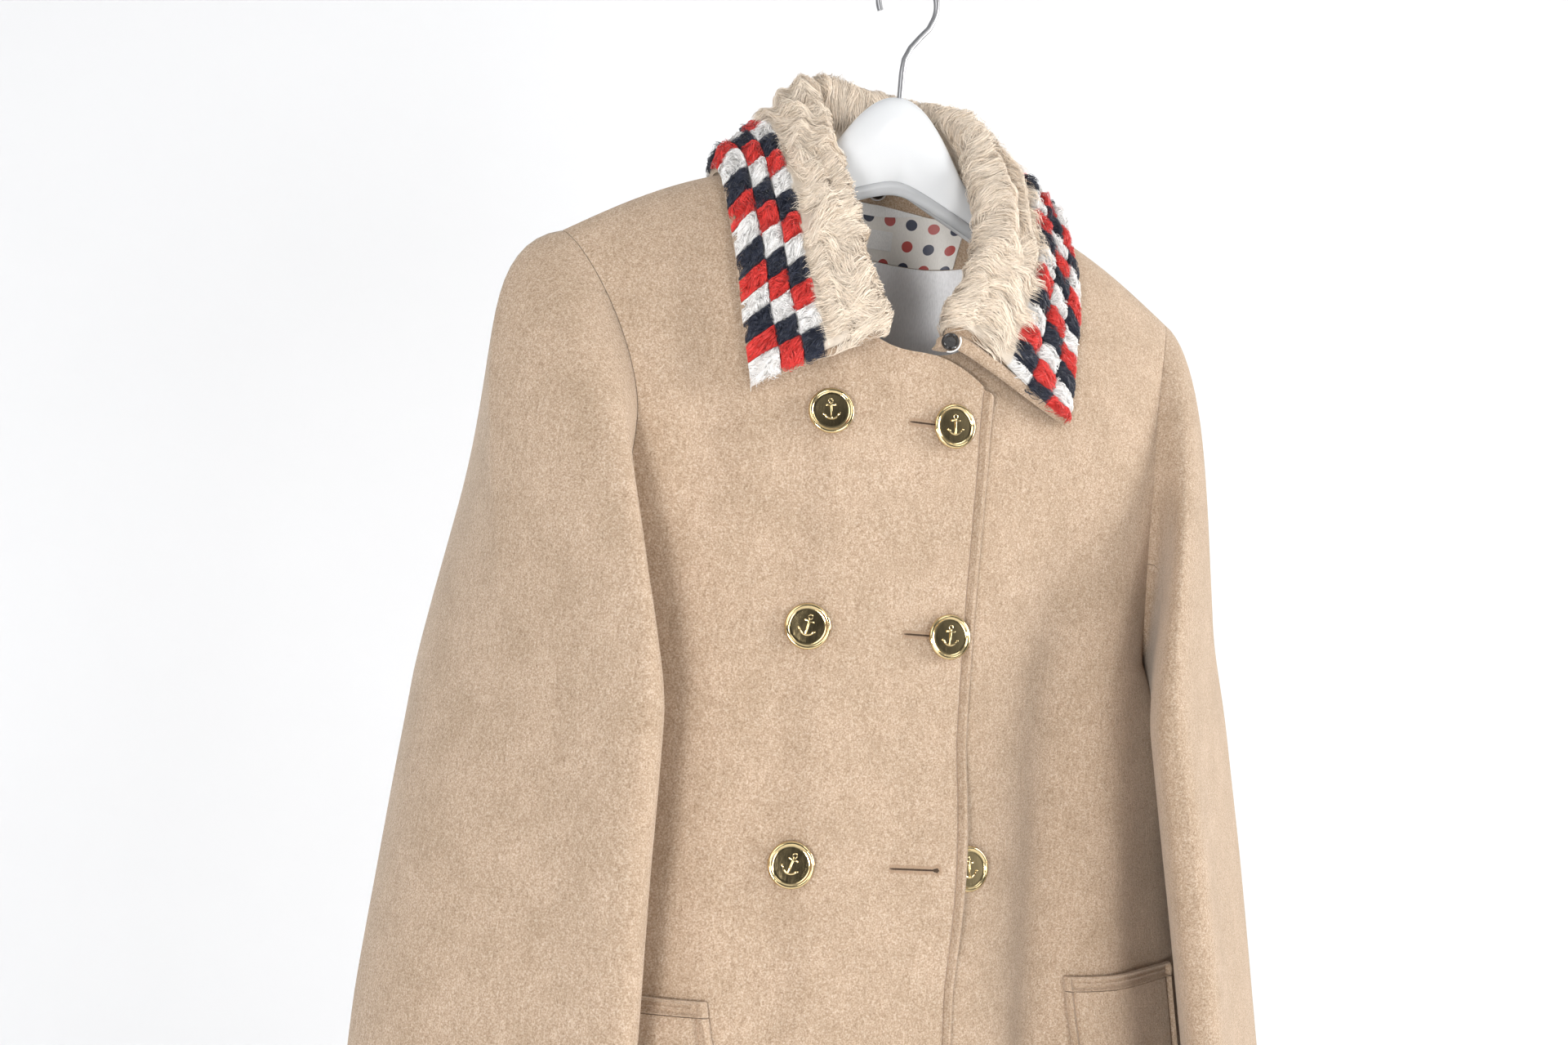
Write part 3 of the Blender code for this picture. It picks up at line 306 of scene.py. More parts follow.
class WoolSettings(bpy.types.PropertyGroup):
    """The coat's cloth and its sewing."""

    colour: colour_of("Wool", "Middle colour of the nap", (0.478, 0.353, 0.250))
    shade: colour_of("Wool shade", "Darker fibres in the nap", (0.262, 0.174, 0.108))
    light: colour_of("Wool light", "Paler fibres in the nap", (0.680, 0.572, 0.465))
    thread: colour_of("Thread", "Sewing thread", (0.385, 0.265, 0.175))
    grain: FloatProperty(name="Grain", description="Specks of nap to the metre", default=1050.0, min=1.0)
    stitch_inset: length_of("Stitch inset", "Topstitching in from the edge", 0.0064)
    stitch_length: length_of("Stitch length", "Length of one topstitch", 0.0030)
    groove: length_of("Stitch groove", "How far topstitching pulls the cloth in", 0.0024)
    slackness: length_of("Slackness", "Height of the small waves in hanging cloth", 0.0011)


class FurSettings(bpy.types.PropertyGroup):
    """The buttoned-on collar."""

    cream: colour_of("Cream", "Hair of the collar's ground", (0.890, 0.775, 0.640))
    navy: colour_of("Navy", "Dark patches of the border", (0.018, 0.023, 0.043))
    white: colour_of("White", "Pale patches of the border", (0.940, 0.930, 0.915))
    red: colour_of("Red", "Bright patches of the border", (0.740, 0.042, 0.034))
    length: length_of("Lock length", "Ground's long locks", 0.0140)
    curl_length: length_of("Curl length", "Border's short curls", 0.0064)
    width: length_of("Hair width", "Width of a strand of hairs", 0.00037)
    tuft: length_of("Tuft", "Distance between the ground's locks", 0.0070)
    hairs: IntProperty(name="Hairs", description="Strands in each lock", default=70, min=1)
    curl_hairs: IntProperty(name="Curl hairs", description="Strands in each curl", default=44, min=1)
    patch: length_of("Patch", "Side of one patch of the border", 0.0140)


class LiningSettings(bpy.types.PropertyGroup):
    """The cloth inside the back neck."""

    ground: colour_of("Yoke ground", "Ground of the dotted lining", (0.800, 0.765, 0.710))
    navy: colour_of("Dark dots", "First colour of the dots", (0.030, 0.036, 0.070))
    red: colour_of("Bright dots", "Second colour of the dots", (0.420, 0.050, 0.040))
    plain: colour_of("Plain lining", "Lining below the yoke", (0.930, 0.925, 0.935))
    tape: colour_of("Tape", "Label, hanging loop and cord", (0.860, 0.850, 0.830))
    pitch: length_of("Dot pitch", "Distance between dots", 0.014)
    dot: length_of("Dot radius", "Radius of a dot", 0.0036)


class FasteningSettings(bpy.types.PropertyGroup):
    """Buttons, buttonholes and loops."""

    brass: colour_of("Brass", "Polished brass", (0.800, 0.620, 0.330))
    dark: colour_of("Collar buttons", "Small collar buttons", (0.014, 0.012, 0.011))
    radius: length_of("Button radius", "Coat button", 0.0125)
    height: length_of("Button height", "Coat button", 0.0050)
    relief: length_of("Motif", "Height of the raised anchor", 0.0007)
    small_radius: length_of("Collar button radius", "Small", 0.0050)
    small_height: length_of("Collar button height", "Small", 0.0024)
    cord: length_of("Loop cord", "Radius of the loop's cord", 0.0005)
    hole_length: length_of("Buttonhole", "Length of the slit", 0.026)


class HangerSettings(bpy.types.PropertyGroup):
    """The hanger."""

    plastic: colour_of("Plastic", "Milky hanger plastic", (0.740, 0.750, 0.760))
    steel: colour_of("Wire", "Drawn steel wire", (0.420, 0.420, 0.430))
    lip: length_of("Lip", "Half the height of the lower edge", 0.0042)


class StageSettings(bpy.types.PropertyGroup):
    """Floor, light and camera."""

    floor: colour_of("Floor", "Pale floor and wall", (0.770, 0.775, 0.785))
    floor_drop: length_of("Floor", "Floor below the hook", 1.45)
    wall_distance: length_of("Wall", "Wall behind the coat", 1.10)
    key: power_of("Key light", "Power of the main light", 8.0)
    fill: power_of("Fill light", "Power of the fill light", 14.0)
    side: power_of("Side light", "Power from the right", 62.0)
    centre: power_of("Centre light", "Power from right of the camera", 9.0)
    front: power_of("Front light", "Power from left of the camera", 22.0)
    wall_light: power_of("Wall light", "Power on the wall", 4.0)
    sky: FloatProperty(name="Room light", description="Strength of the even light", default=0.54)


SETTINGS = {
    "coat_wool": WoolSettings,
    "coat_fur": FurSettings,
    "coat_lining": LiningSettings,
    "coat_fastenings": FasteningSettings,
    "coat_hanger": HangerSettings,
    "coat_stage": StageSettings,
}


# Numbers and curves


def unit(vectors):
    return vectors / np.linalg.norm(vectors, axis=-1, keepdims=True)


def smooth_step(value, low, high):
    share = np.clip((value - low) / (high - low), 0.0, 1.0)
    return share * share * (3.0 - 2.0 * share)


def hermite(start, end, start_slope, end_slope, share):
    square = share * share
    cube = square * share
    return (
        start * (2.0 * cube - 3.0 * square + 1.0)
        + start_slope * (cube - 2.0 * square + share)
        + end * (3.0 * square - 2.0 * cube)
        + end_slope * (cube - square)
    )


@lru_cache(maxsize=None)
def table_curve(rows, column):
    places = np.array([row[0] for row in rows])
    values = np.array([getattr(row, column) for row in rows])
    return places, values, np.gradient(values, places)


def read_table(rows, column, place):
    """A table's column between its rows, along a smooth curve. The rows go up by their first column."""
    places, values, slopes = table_curve(rows, column)
    index = int(np.clip(np.searchsorted(places, place) - 1, 0, len(places) - 2))
    width = places[index + 1] - places[index]
    share = (place - places[index]) / width
    return hermite(values[index], values[index + 1], slopes[index] * width, slopes[index + 1] * width, share)


def run_lengths(points):
    """Distance along a line of points, starting at 0."""
    steps = np.linalg.norm(np.diff(points, axis=0), axis=-1)
    return np.concatenate(([0.0], np.cumsum(steps)))


# Body surface


@lru_cache(maxsize=None)
def half_section(face, side, height):
    """Distance along the cloth, x and y, from the centre line to the side seam at one height."""
    half_width = read_table(BODY_SECTIONS, f"{side}_half", height)
    side_y = read_table(BODY_SECTIONS, "side_y", height)
    power = 2.0 / read_table(BODY_SECTIONS, f"{side}_square", height)
    angles = np.linspace(0.0, math.pi / 2.0, 181)
    x = half_width * np.sin(angles) ** power
    reach = np.abs(np.cos(angles)) ** power
    if face == "front":
        y = side_y - (side_y + read_table(BODY_SECTIONS, "front_depth", height)) * reach
    else:
        y = side_y + (read_table(BODY_SECTIONS, "back_depth", height) - side_y) * reach
    along = run_lengths(np.stack((x, y), axis=1))
    return along, x, y


def section_point(face, along, height):
    """A point on the body's section at a distance along the cloth from the centre line, up towards +X."""
    distance, x, y = half_section(face, "left" if along > 0.0 else "right", height)
    place = abs(along)
    across = math.copysign(np.interp(place, distance, x), along)
    return np.array((across, np.interp(place, distance, y), height))


def along_at_x(face, side, height, half):
    distance, x, _ = half_section(face, side, height)
    return float(np.interp(half, x, distance))


def shoulder_point(share):
    x = NECK_HALF + (SHOULDER_HALF - NECK_HALF) * share
    z = NECK_SIDE_HEIGHT * (1.0 - share) + SHOULDER_CROWN * math.sin(math.pi * share)
    return np.array((x, 0.0, z))


def front_neck_point(angle):
    """The front neckline is a quarter ellipse in plan: 0 at the centre front, 90 degrees at the shoulder."""
    across = math.sin(angle)
    height = NECK_FRONT_HEIGHT + (NECK_SIDE_HEIGHT - NECK_FRONT_HEIGHT) * across**3
    return np.array((NECK_HALF * across, -NECK_FRONT_DEPTH * math.cos(angle), height))


def back_neck_point(angle):
    rise = (NECK_BACK_HEIGHT - NECK_SIDE_HEIGHT) * math.cos(angle) ** 2
    return np.array((NECK_HALF * math.sin(angle), NECK_BACK_DEPTH * math.cos(angle), NECK_SIDE_HEIGHT + rise))


def lean_direction(facing, tilt_degrees, inward=0.0):
    """The way the cloth leaves its top edge: straight down at 0 degrees, level and outward at 90."""
    tilt = math.radians(tilt_degrees)
    direction = np.array((-inward, facing * math.sin(tilt), -math.cos(tilt)))
    return direction / np.linalg.norm(direction)


def neck_and_shoulder(steps, neck_point, facing, middle_tilt, armhole, inward):
    """Columns of a panel from the middle of its neckline out along the shoulder to the armhole."""
    columns = []
    for share in np.linspace(0.0, 1.0, steps[0] + 1)[:-1]:
        angle = share * math.pi / 2.0
        tilt = middle_tilt + (SHOULDER_TILT - middle_tilt) * math.sin(angle) ** 2
        columns.append((NECK_COLUMN * share, neck_point(angle), lean_direction(facing, tilt)))
    for share in np.linspace(0.0, 1.0, steps[1] + 1):
        along = NECK_COLUMN + (armhole - NECK_COLUMN) * share
        columns.append((along, shoulder_point(share), lean_direction(facing, SHOULDER_TILT, inward * share)))
    return columns


def front_columns(side, lap, lap_dip):
    """For each column of a front: distance along the chest line, top point and leaving direction, outward +X.

    The left lap lies back behind the neckline of the right front.
    """
    columns = []
    armhole = along_at_x("front", side, CHEST_HEIGHT, FRONT_ARMHOLE_HALF[side])
    for inset in LAP_COLUMNS:
        share = min(inset / lap, 0.97)
        x = -lap * (1.0 - share)
        back = math.sqrt(1.0 - (x / NECK_HALF) ** 2) if side == "left" else 1.0
        top = np.array((x, -NECK_FRONT_DEPTH * back, NECK_FRONT_HEIGHT - lap_dip * (1.0 - share) ** 2))
        columns.append((x, top, lean_direction(-1.0, 3.0)))
    steps = (NECK_STEPS, SHOULDER_STEPS)
    return columns + neck_and_shoulder(steps, front_neck_point, -1.0, 3.0, armhole, 0.4)


def back_columns():
    """The same for half of the back, from the centre back to the armhole."""
    armhole = along_at_x("back", "right", CHEST_HEIGHT, BACK_ARMHOLE_HALF)
    return neck_and_shoulder((BACK_NECK_STEPS, BACK_SHOULDER_STEPS), back_neck_point, 1.0, 10.0, armhole, 0.3)


def lower_rows():
    """Heights below the chest line, with how far the armhole has swung round to the side seam at each."""
    rows = []
    for step in range(1, ARMHOLE_STEPS + 1):
        angle = step / ARMHOLE_STEPS * math.pi / 2.0
        height = CHEST_HEIGHT + (UNDERARM_HEIGHT - CHEST_HEIGHT) * math.sin(angle)
        rows.append((height, 1.0 - math.cos(angle)))
    for step in range(1, BODY_STEPS + 1):
        rows.append((UNDERARM_HEIGHT + (HEM_HEIGHT - UNDERARM_HEIGHT) * step / BODY_STEPS, 1.0))
    return rows


def half_panel(face, side, columns, lap_lean=0.0):
    """Outer skin of a panel, row by row from its top edge to its hem, its columns running out to its side."""
    mirror = np.array((SIDE_SIGN[side], 1.0, 1.0))
    armhole = columns[-1][0]
    lap = max(-columns[0][0], SEAM_GAP)
    rows = []
    for share in TOP_SHARES:
        row = []
        for along, top, leaving in columns:
            foot = section_point(face, SIDE_SIGN[side] * along, CHEST_HEIGHT)
            length = np.linalg.norm(foot - top * mirror)
            start_slope = leaving * mirror * length * SHOULDER_ROUND
            row.append(hermite(top * mirror, foot, start_slope, CHEST_SLOPE[face] * length, share))
        rows.append(row)
    for height, swing in lower_rows():
        spread = (half_section(face, side, height)[0][-1] - armhole) * swing
        drop = (CHEST_HEIGHT - height) / (CHEST_HEIGHT - HEM_HEIGHT)
        row = []
        for along, _, _ in columns:
            outward = max(along, 0.0) / armhole
            inward = max(-along, 0.0) / lap
            place = along + spread * outward**2 + lap_lean * drop * inward
            row.append(section_point(face, SIDE_SIGN[side] * place, height))
        rows.append(row)
    return np.array(rows)


def grid_normals(points, facing_point):
    """Unit normals of a grid of points, pointing away from a point inside."""
    normals = unit(np.cross(np.gradient(points, axis=0), np.gradient(points, axis=1)))
    if np.sum(normals * (points - facing_point)) < 0.0:
        normals = -normals
    return normals


def fold_push(name, point):
    push = 0.0
    for fold in FOLDS:
        if fold.face != name:
            continue
        reach = (fold.top - point[2]) / (fold.top - fold.foot)
        if not 0.0 < reach < 1.0:
            continue
        centre = fold.top_x + (fold.foot_x - fold.top_x) * reach
        ends = math.sin(math.pi * min(reach, 0.5)) if fold.foot < HEM_HEIGHT else math.sin(math.pi * reach)
        push += fold.depth * ends * math.exp(-(((point[0] - centre) / fold.width) ** 2))
    return push


def pushed(name, points, normals, lapped=False):
    moved = points.copy()
    for place in np.ndindex(points.shape[:2]):
        push = fold_push(name, points[place])
        if lapped:
            push += LAP_LIFT * smooth_step(points[place][0], -LAP_RAMP_START, -LAP_RAMP_END)
        moved[place] += normals[place] * push
    return moved


def slack(points, normals, height, seed):
    """Small soft waves in hanging cloth, none at its sewn edges."""
    moved = points.copy()
    rows, columns = points.shape[:2]
    down = np.minimum(np.arange(rows), rows - 1)[:, None] / 10.0
    across = np.minimum(np.arange(columns), np.arange(columns)[::-1])[None, :] / 7.0
    weight = np.clip(np.minimum(down, across), 0.0, 1.0)
    for place in np.ndindex(points.shape[:2]):
        spot = Vector(points[place]) + Vector((seed, 0.0, 0.0))
        wave = noise.noise(Vector((spot.x * 17.0, spot.y * 17.0, spot.z * 8.0)))
        ripple = noise.noise(Vector((spot.x * 48.0, spot.y * 48.0, spot.z * 30.0)))
        moved[place] += normals[place] * height * weight[place] * (wave + 0.35 * ripple)
    return moved


def level_seam_normals(normals, shoulders, sides):
    """Where two panels meet at a shoulder or side seam, both edges are cut square to the seam."""
    seam = normals.copy()
    first_side_row = len(TOP_SHARES) - 1 + ARMHOLE_STEPS
    for columns in shoulders:
        seam[0, columns, 1] = 0.0
    for column in sides:
        seam[first_side_row:, column, 1] = 0.0
    return unit(seam)


def seam_lapped(inner, columns):
    """An inner skin with its side edges moved back, so that no light passes straight through a side seam."""
    inner[len(TOP_SHARES) + ARMHOLE_STEPS :, columns, 1] += SEAM_LAP
    return inner


# Where each edge of a grid lies, and the line of points next to it
GRID_EDGES = {
    "top": (np.s_[0], np.s_[1]),
    "bottom": (np.s_[-1], np.s_[-2]),
    "left": (np.s_[:, 0], np.s_[:, 1]),
    "right": (np.s_[:, -1], np.s_[:, -2]),
}


def trimmed(points, *edges, gap=SEAM_GAP):
    """The grid with the edges named moved in by half a seam gap."""
    cut = points.copy()
    for edge in edges:
        line, beside = GRID_EDGES[edge]
        cut[line] += unit(points[beside] - points[line]) * gap / 2.0
    return cut


def groove_profile(inset, stitch_inset, depth):
    """How far topstitched cloth moves along its normal, by the distance in from its edge."""
    pull = -depth * np.exp(-(((inset - stitch_inset) / GROOVE_WIDTH) ** 2))
    roll = -EDGE_ROLL * np.clip(1.0 - inset / EDGE_ROLL_WIDTH, 0.0, 1.0) ** 2
    swell = EDGE_SWELL * np.exp(-(((inset - EDGE_SWELL_INSET) / EDGE_SWELL_WIDTH) ** 2))
    return pull + roll + swell


# Meshes and pieces


def add_piece(name, mesh, finish, nodes=(), sharp=50.0):
    """A finished piece: moved to its place under the hook, riding on the body, standing for its solids."""
    mesh.transform(Matrix.Translation((0.0, 0.0, -HANG_RISE)))
    mesh.materials.append(finish)
    mesh.shade_smooth()
    if sharp:
        mesh.set_sharp_from_angle(angle=math.radians(sharp))
    obj = bpy.data.objects.new(name, mesh)
    bpy.context.scene.collection.objects.link(obj)
    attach(obj, BODY)
    if nodes:
        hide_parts(*nodes)
    return obj


def mesh_from(name, working):
    bmesh.ops.recalc_face_normals(working, faces=working.faces[:])
    mesh = bpy.data.meshes.new(name)
    working.to_mesh(mesh)
    working.free()
    return mesh


def opened(mesh):
    """A mesh taken up for editing, and itself removed."""
    working = bmesh.new()
    working.from_mesh(mesh)
    bpy.data.meshes.remove(mesh)
    return working


def wall_mesh(name, outer, inner, with_uv=False):
    """A closed cloth wall between two skins. Its UV map, if asked for, is in metres across and down."""
    rows, columns = outer.shape[:2]
    working = bmesh.new()
    bmesh.ops.create_grid(working, x_segments=columns - 1, y_segments=rows - 1, size=1.0)
    place = working.verts.layers.int.new("place")
    working.verts.ensure_lookup_table()
    for index, vert in enumerate(working.verts):
        vert[place] = index
        vert.co = outer[divmod(index, columns)]
    grown = bmesh.ops.extrude_face_region(working, geom=working.faces[:], use_keep_orig=True)
    for vert in grown["geom"]:
        if isinstance(vert, bmesh.types.BMVert):
            vert.co = inner[divmod(vert[place], columns)]
    if with_uv:
        across = run_lengths(outer[rows // 2])
        down = run_lengths(outer[:, columns // 2])
        layer = working.loops.layers.uv.new("cloth")
        for face in working.faces:
            for loop in face.loops:
                row, column = divmod(loop.vert[place], columns)
                loop[layer].uv = (across[column] - across[columns // 2], -down[row])
    return mesh_from(name, working)


def cut_size(points):
    """Width, length and area of the flat cut that a grid of points was made from."""
    width = max(run_lengths(row)[-1] for row in points)
    length = max(run_lengths(points[:, column])[-1] for column in range(points.shape[1]))
    first = points[1:, :-1] - points[:-1, :-1]
    second = points[:-1, 1:] - points[:-1, :-1]
    area = float(np.linalg.norm(np.cross(first, second), axis=-1).sum())
    return width, length, area


def declare_cloth(obj, points):
    width, length, area = cut_size(points)
    area = min(area, width * length)


def soften_edges(obj, width, segments=2):
    bevel = obj.modifiers.new("soft_edge", "BEVEL")
    bevel.width = width
    bevel.segments = segments
    bevel.limit_method = "ANGLE"
    bevel.angle_limit = math.radians(55.0)


def wool_piece(name, mesh, node=None):
    """A piece of coat cloth with softly rolled edges."""
    piece = add_piece(f"{name}_wool", mesh, shared_finish("wool"), [node or name])
    soften_edges(piece, WOOL_EDGE)
    return piece


def tube_mesh(name, points, radius, sides=2):
    """A round wire or cord through points, with closed ends."""
    curve = bpy.data.curves.new(name, "CURVE")
    curve.dimensions = "3D"
    curve.bevel_depth = radius
    curve.bevel_resolution = sides
    curve.use_fill_caps = True
    spline = curve.splines.new("POLY")
    spline.points.add(len(points) - 1)
    for target, point in zip(spline.points, points):
        target.co = (*point, 1.0)
    holder = bpy.data.objects.new(name, curve)
    bpy.context.scene.collection.objects.link(holder)
    depsgraph = bpy.context.evaluated_depsgraph_get()
    mesh = bpy.data.meshes.new_from_object(holder.evaluated_get(depsgraph))
    bpy.data.objects.remove(holder)
    working = opened(mesh)
    bmesh.ops.remove_doubles(working, verts=working.verts[:], dist=radius * 0.02)
    return mesh_from(name, working)


def spin_about_z(working, geometry, angle, steps, merged):
    about = {"cent": (0.0, 0.0, 0.0), "axis": (0.0, 0.0, 1.0)}
    bmesh.ops.spin(working, geom=geometry, **about, angle=angle, steps=steps, use_merge=merged)


def spun(profile, steps):
    """A bmesh turned about Z from (radius, height) pairs that start and end on the axis."""
    working = bmesh.new()
    verts = [working.verts.new((radius, 0.0, height)) for radius, height in profile]
    edges = [working.edges.new(pair) for pair in zip(verts, verts[1:])]
    spin_about_z(working, verts + edges, 2.0 * math.pi, steps, True)
    bmesh.ops.remove_doubles(working, verts=working.verts[:], dist=1e-6)
    return working


def grid_faces(points):
    rows, columns = points.shape[:2]
    first = (np.arange(rows - 1)[:, None] * columns + np.arange(columns - 1)[None, :]).ravel()
    return np.stack((first, first + 1, first + columns + 1, first + columns), axis=1).tolist()


def grid_tree(points, turned_over=False):
    faces = [face[::-1] for face in grid_faces(points)] if turned_over else grid_faces(points)
    return BVHTree.FromPolygons([Vector(point) for point in points.reshape(-1, 3)], faces)


def skin_tree(points, normals):
    """A skin to stand things on, its faces wound to face along the grid's normals."""
    winding = np.cross(np.gradient(points, axis=1), np.gradient(points, axis=0))
    return grid_tree(points, np.sum(winding * normals) < 0.0)


def met(tree, start):
    """Where a line straight back from a point meets a skin, and the way that the skin faces there."""
    spot, normal, _, _ = tree.ray_cast(Vector(start), Vector((0.0, 1.0, 0.0)))
    return spot, normal


def seat_matrix(tree, start, turn=0.0):
    """A button's place on the skin behind a point, with the Z axis the way the skin faces."""
    spot, normal = met(tree, start)
    turned = normal.to_track_quat("Z", "Y").to_matrix().to_4x4()
    place = Matrix.Translation(spot + normal * BUTTON_GAP) @ turned
    return place @ Matrix.Rotation(math.radians(turn), 4, "Z")


def lie_on(tree, points, lift):
    """Points moved to stand off a skin by the lift, on the side it faces, and the way it faces there."""
    laid = points.copy()
    facing = np.zeros_like(points)
    lifts = np.broadcast_to(lift, points.shape[:2])
    for place in np.ndindex(points.shape[:2]):
        spot, normal, _, _ = tree.find_nearest(Vector(points[place]))
        laid[place] = spot + normal * float(lifts[place])
        facing[place] = normal
    return laid, facing


def stitched_mesh(name, places, headings, normals, length, width):
    """Many short threads as one mesh, each lying along its heading on the cloth."""
    working = bmesh.new()
    bmesh.ops.create_uvsphere(working, u_segments=6, v_segments=4, radius=0.5)
    thread = np.array([vert.co for vert in working.verts])[:, (2, 0, 1)]
    loops = [[vert.index for vert in face.verts] for face in working.faces]
    working.free()
    side = unit(np.cross(normals, headings))
    size = thread * np.array((length, width, width))
    frames = np.stack((unit(headings), side, np.cross(unit(headings), side)), axis=1)
    verts = places[:, None, :] + np.einsum("vk,nkx->nvx", size, frames)
    faces = [[index + step * len(thread) for index in loop] for step in range(len(places)) for loop in loops]
    mesh = bpy.data.meshes.new(name)
    mesh.from_pydata(verts.reshape(-1, 3).tolist(), [], faces)
    return mesh_from(name, opened(mesh))


def along_line(points, normals, step):
    """Evenly spaced places along a line on cloth, with headings and normals."""
    run = run_lengths(points)
    spots = np.arange(step * 0.5, run[-1], step)

    def at(values, shift=0.0):
        return np.stack([np.interp(spots + shift, run, column) for column in values.T], axis=1)

    return at(points), unit(at(points, step * 0.1) - at(points, -step * 0.1)), unit(at(normals))


# Materials


class Finish:
    """A new material's nodes, with short ways to add and join them."""

    def __init__(self, name, roughness, metallic=0.0):
        self.material = bpy.data.materials.new(name)
        self.material.use_nodes = True
        self.tree = self.material.node_tree
        self.shader = self.tree.nodes["Principled BSDF"]
        self.set(Roughness=roughness, Metallic=metallic)

    def set(self, **sockets):
        for socket, value in sockets.items():
            self.shader.inputs[socket.replace("_", " ")].default_value = value

    def add(self, kind, **values):
        node = self.tree.nodes.new(kind)
        for name, value in values.items():
            setattr(node, name, value)
        return node

    def join(self, source, target):
        self.tree.links.new(source, target)

    def coordinates(self, kind="Object"):
        return self.add("ShaderNodeTexCoord").outputs[kind]

    def grain(self, scale, detail=3.0, roughness=0.6, stretch=(1.0, 1.0, 1.0), kind="Object"):
        mapping = self.add("ShaderNodeMapping")
        mapping.inputs["Scale"].default_value = stretch
        self.join(self.coordinates(kind), mapping.inputs["Vector"])
        texture = self.add("ShaderNodeTexNoise")
        texture.inputs["Scale"].default_value = scale
        texture.inputs["Detail"].default_value = detail
        texture.inputs["Roughness"].default_value = roughness
        self.join(mapping.outputs["Vector"], texture.inputs["Vector"])
        return texture.outputs["Fac"]

    def ramp(self, factor, *stops):
        ramp = self.add("ShaderNodeValToRGB")
        while len(ramp.color_ramp.elements) < len(stops):
            ramp.color_ramp.elements.new(1.0)
        for element, (place, colour) in zip(ramp.color_ramp.elements, stops):
            element.position = place
            element.color = (*colour[:3], 1.0)
        self.join(factor, ramp.inputs["Fac"])
        return ramp.outputs["Color"]

    def feed(self, socket, source):
        if isinstance(source, bpy.types.NodeSocket):
            self.join(source, socket)
        else:
            socket.default_value = source

    def blend(self, factor, first, second, mode="MIX"):
        mix = self.add("ShaderNodeMix", data_type="RGBA", blend_type=mode)
        self.feed(mix.inputs["Factor"], factor)
        self.join(first, mix.inputs[6])
        self.join(second, mix.inputs[7])
        return mix.outputs[2]

    def maths(self, operation, first, second):
        node = self.add("ShaderNodeMath", operation=operation)
        self.feed(node.inputs[0], first)
        self.feed(node.inputs[1], second)
        return node.outputs["Value"]

    def vector(self, operation, source, second=None):
        node = self.add("ShaderNodeVectorMath", operation=operation)
        self.join(source, node.inputs[0])
        if second is not None:
            node.inputs["Scale" if operation == "SCALE" else 1].default_value = second
        return node.outputs["Value" if operation == "LENGTH" else "Vector"]

    def bump(self, height, distance, strength=1.0, normal=None):
        bump = self.add("ShaderNodeBump")
        bump.inputs["Distance"].default_value = distance
        bump.inputs["Strength"].default_value = strength
        self.join(height, bump.inputs["Height"])
        if normal is not None:
            self.join(normal, bump.inputs["Normal"])
        return bump.outputs["Normal"]

    def finish(self, colour, normal=None, roughness=None):
        for socket, source in (("Base Color", colour), ("Normal", normal), ("Roughness", roughness)):
            if source is not None:
                self.join(source, self.shader.inputs[socket])
        return self.material


def toned(colour, *tones):
    """Stops for a ramp from (place, strength) pairs of one colour."""
    return [(place, [value * strength for value in colour]) for place, strength in tones]


def grained_finish(name, roughness, colour, tones, grain, relief, metallic=0.0, **sockets):
    """One colour in two or more tones, mottled and embossed by the same fine grain."""
    look = Finish(name, roughness, metallic)
    fine = look.grain(*grain)
    look.set(**sockets)
    return look.finish(look.ramp(fine, *toned(colour, *tones)), look.bump(fine, *relief))


def wool_finish(settings):
    """Brushed wool: specks of pale and dark fibre, soft mottling, a short fuzzy nap."""
    look = Finish("camel_wool", 0.95)
    specks = look.grain(settings.grain, 4.0, 0.72)
    fibres = look.grain(settings.grain * 0.45, 3.0, 0.65, (1.0, 1.0, 0.35))
    mottle = look.grain(38.0, 3.0, 0.55)
    colour = look.ramp(
        specks, (0.30, settings.shade), (0.50, settings.colour), (0.72, settings.light)
    )
    streak = look.ramp(fibres, (0.32, (0.78, 0.74, 0.70)), (0.66, (1.08, 1.08, 1.08)))
    colour = look.blend(0.55, colour, streak, "MULTIPLY")
    cloud = look.ramp(mottle, (0.30, (0.90, 0.89, 0.87)), (0.70, (1.05, 1.05, 1.06)))
    colour = look.blend(1.0, colour, cloud, "MULTIPLY")
    normal = look.bump(specks, 0.0010, 0.55)
    normal = look.bump(fibres, 0.0012, 0.35, normal)
    look.set(Sheen_Weight=0.35, Sheen_Roughness=0.45, Sheen_Tint=(1.0, 0.92, 0.82, 1.0))
    look.set(Specular_IOR_Level=0.15)
    return look.finish(colour, normal)


def thread_finish(colour):
    tones = ((0.3, 1.0), (0.7, 1.3))
    return grained_finish("coat_thread", 0.7, colour, tones, (2600.0, 2.0, 0.5), (0.0003, 0.4))


def fur_finish():
    """Hair whose colour attribute holds each strand's dye with painted shade, darker at its root and at its
    lock's sides, with a silky sheen.
    """
    look = Finish("fur_hair", 0.48)
    dye_and_shade = look.add("ShaderNodeAttribute", attribute_name="dye_and_shade").outputs["Color"]
    depth = look.grain(420.0, 2.0, 0.6)
    shade = look.ramp(depth, (0.25, (0.86, 0.84, 0.82)), (0.75, (1.06, 1.06, 1.06)))
    look.set(Sheen_Weight=0.25, Sheen_Roughness=0.35, Specular_IOR_Level=0.42)
    return look.finish(look.blend(1.0, dye_and_shade, shade, "MULTIPLY"))


def satin_finish(colour):
    """Smooth lining with a fine weave."""
    tones = ((0.3, 0.90), (0.7, 1.05))
    weave = (1400.0, 2.0, 0.5, (1.0, 1.0, 0.22))
    return grained_finish("plain_lining", 0.42, colour, tones, weave, (0.0002, 0.35), Sheen_Weight=0.2)


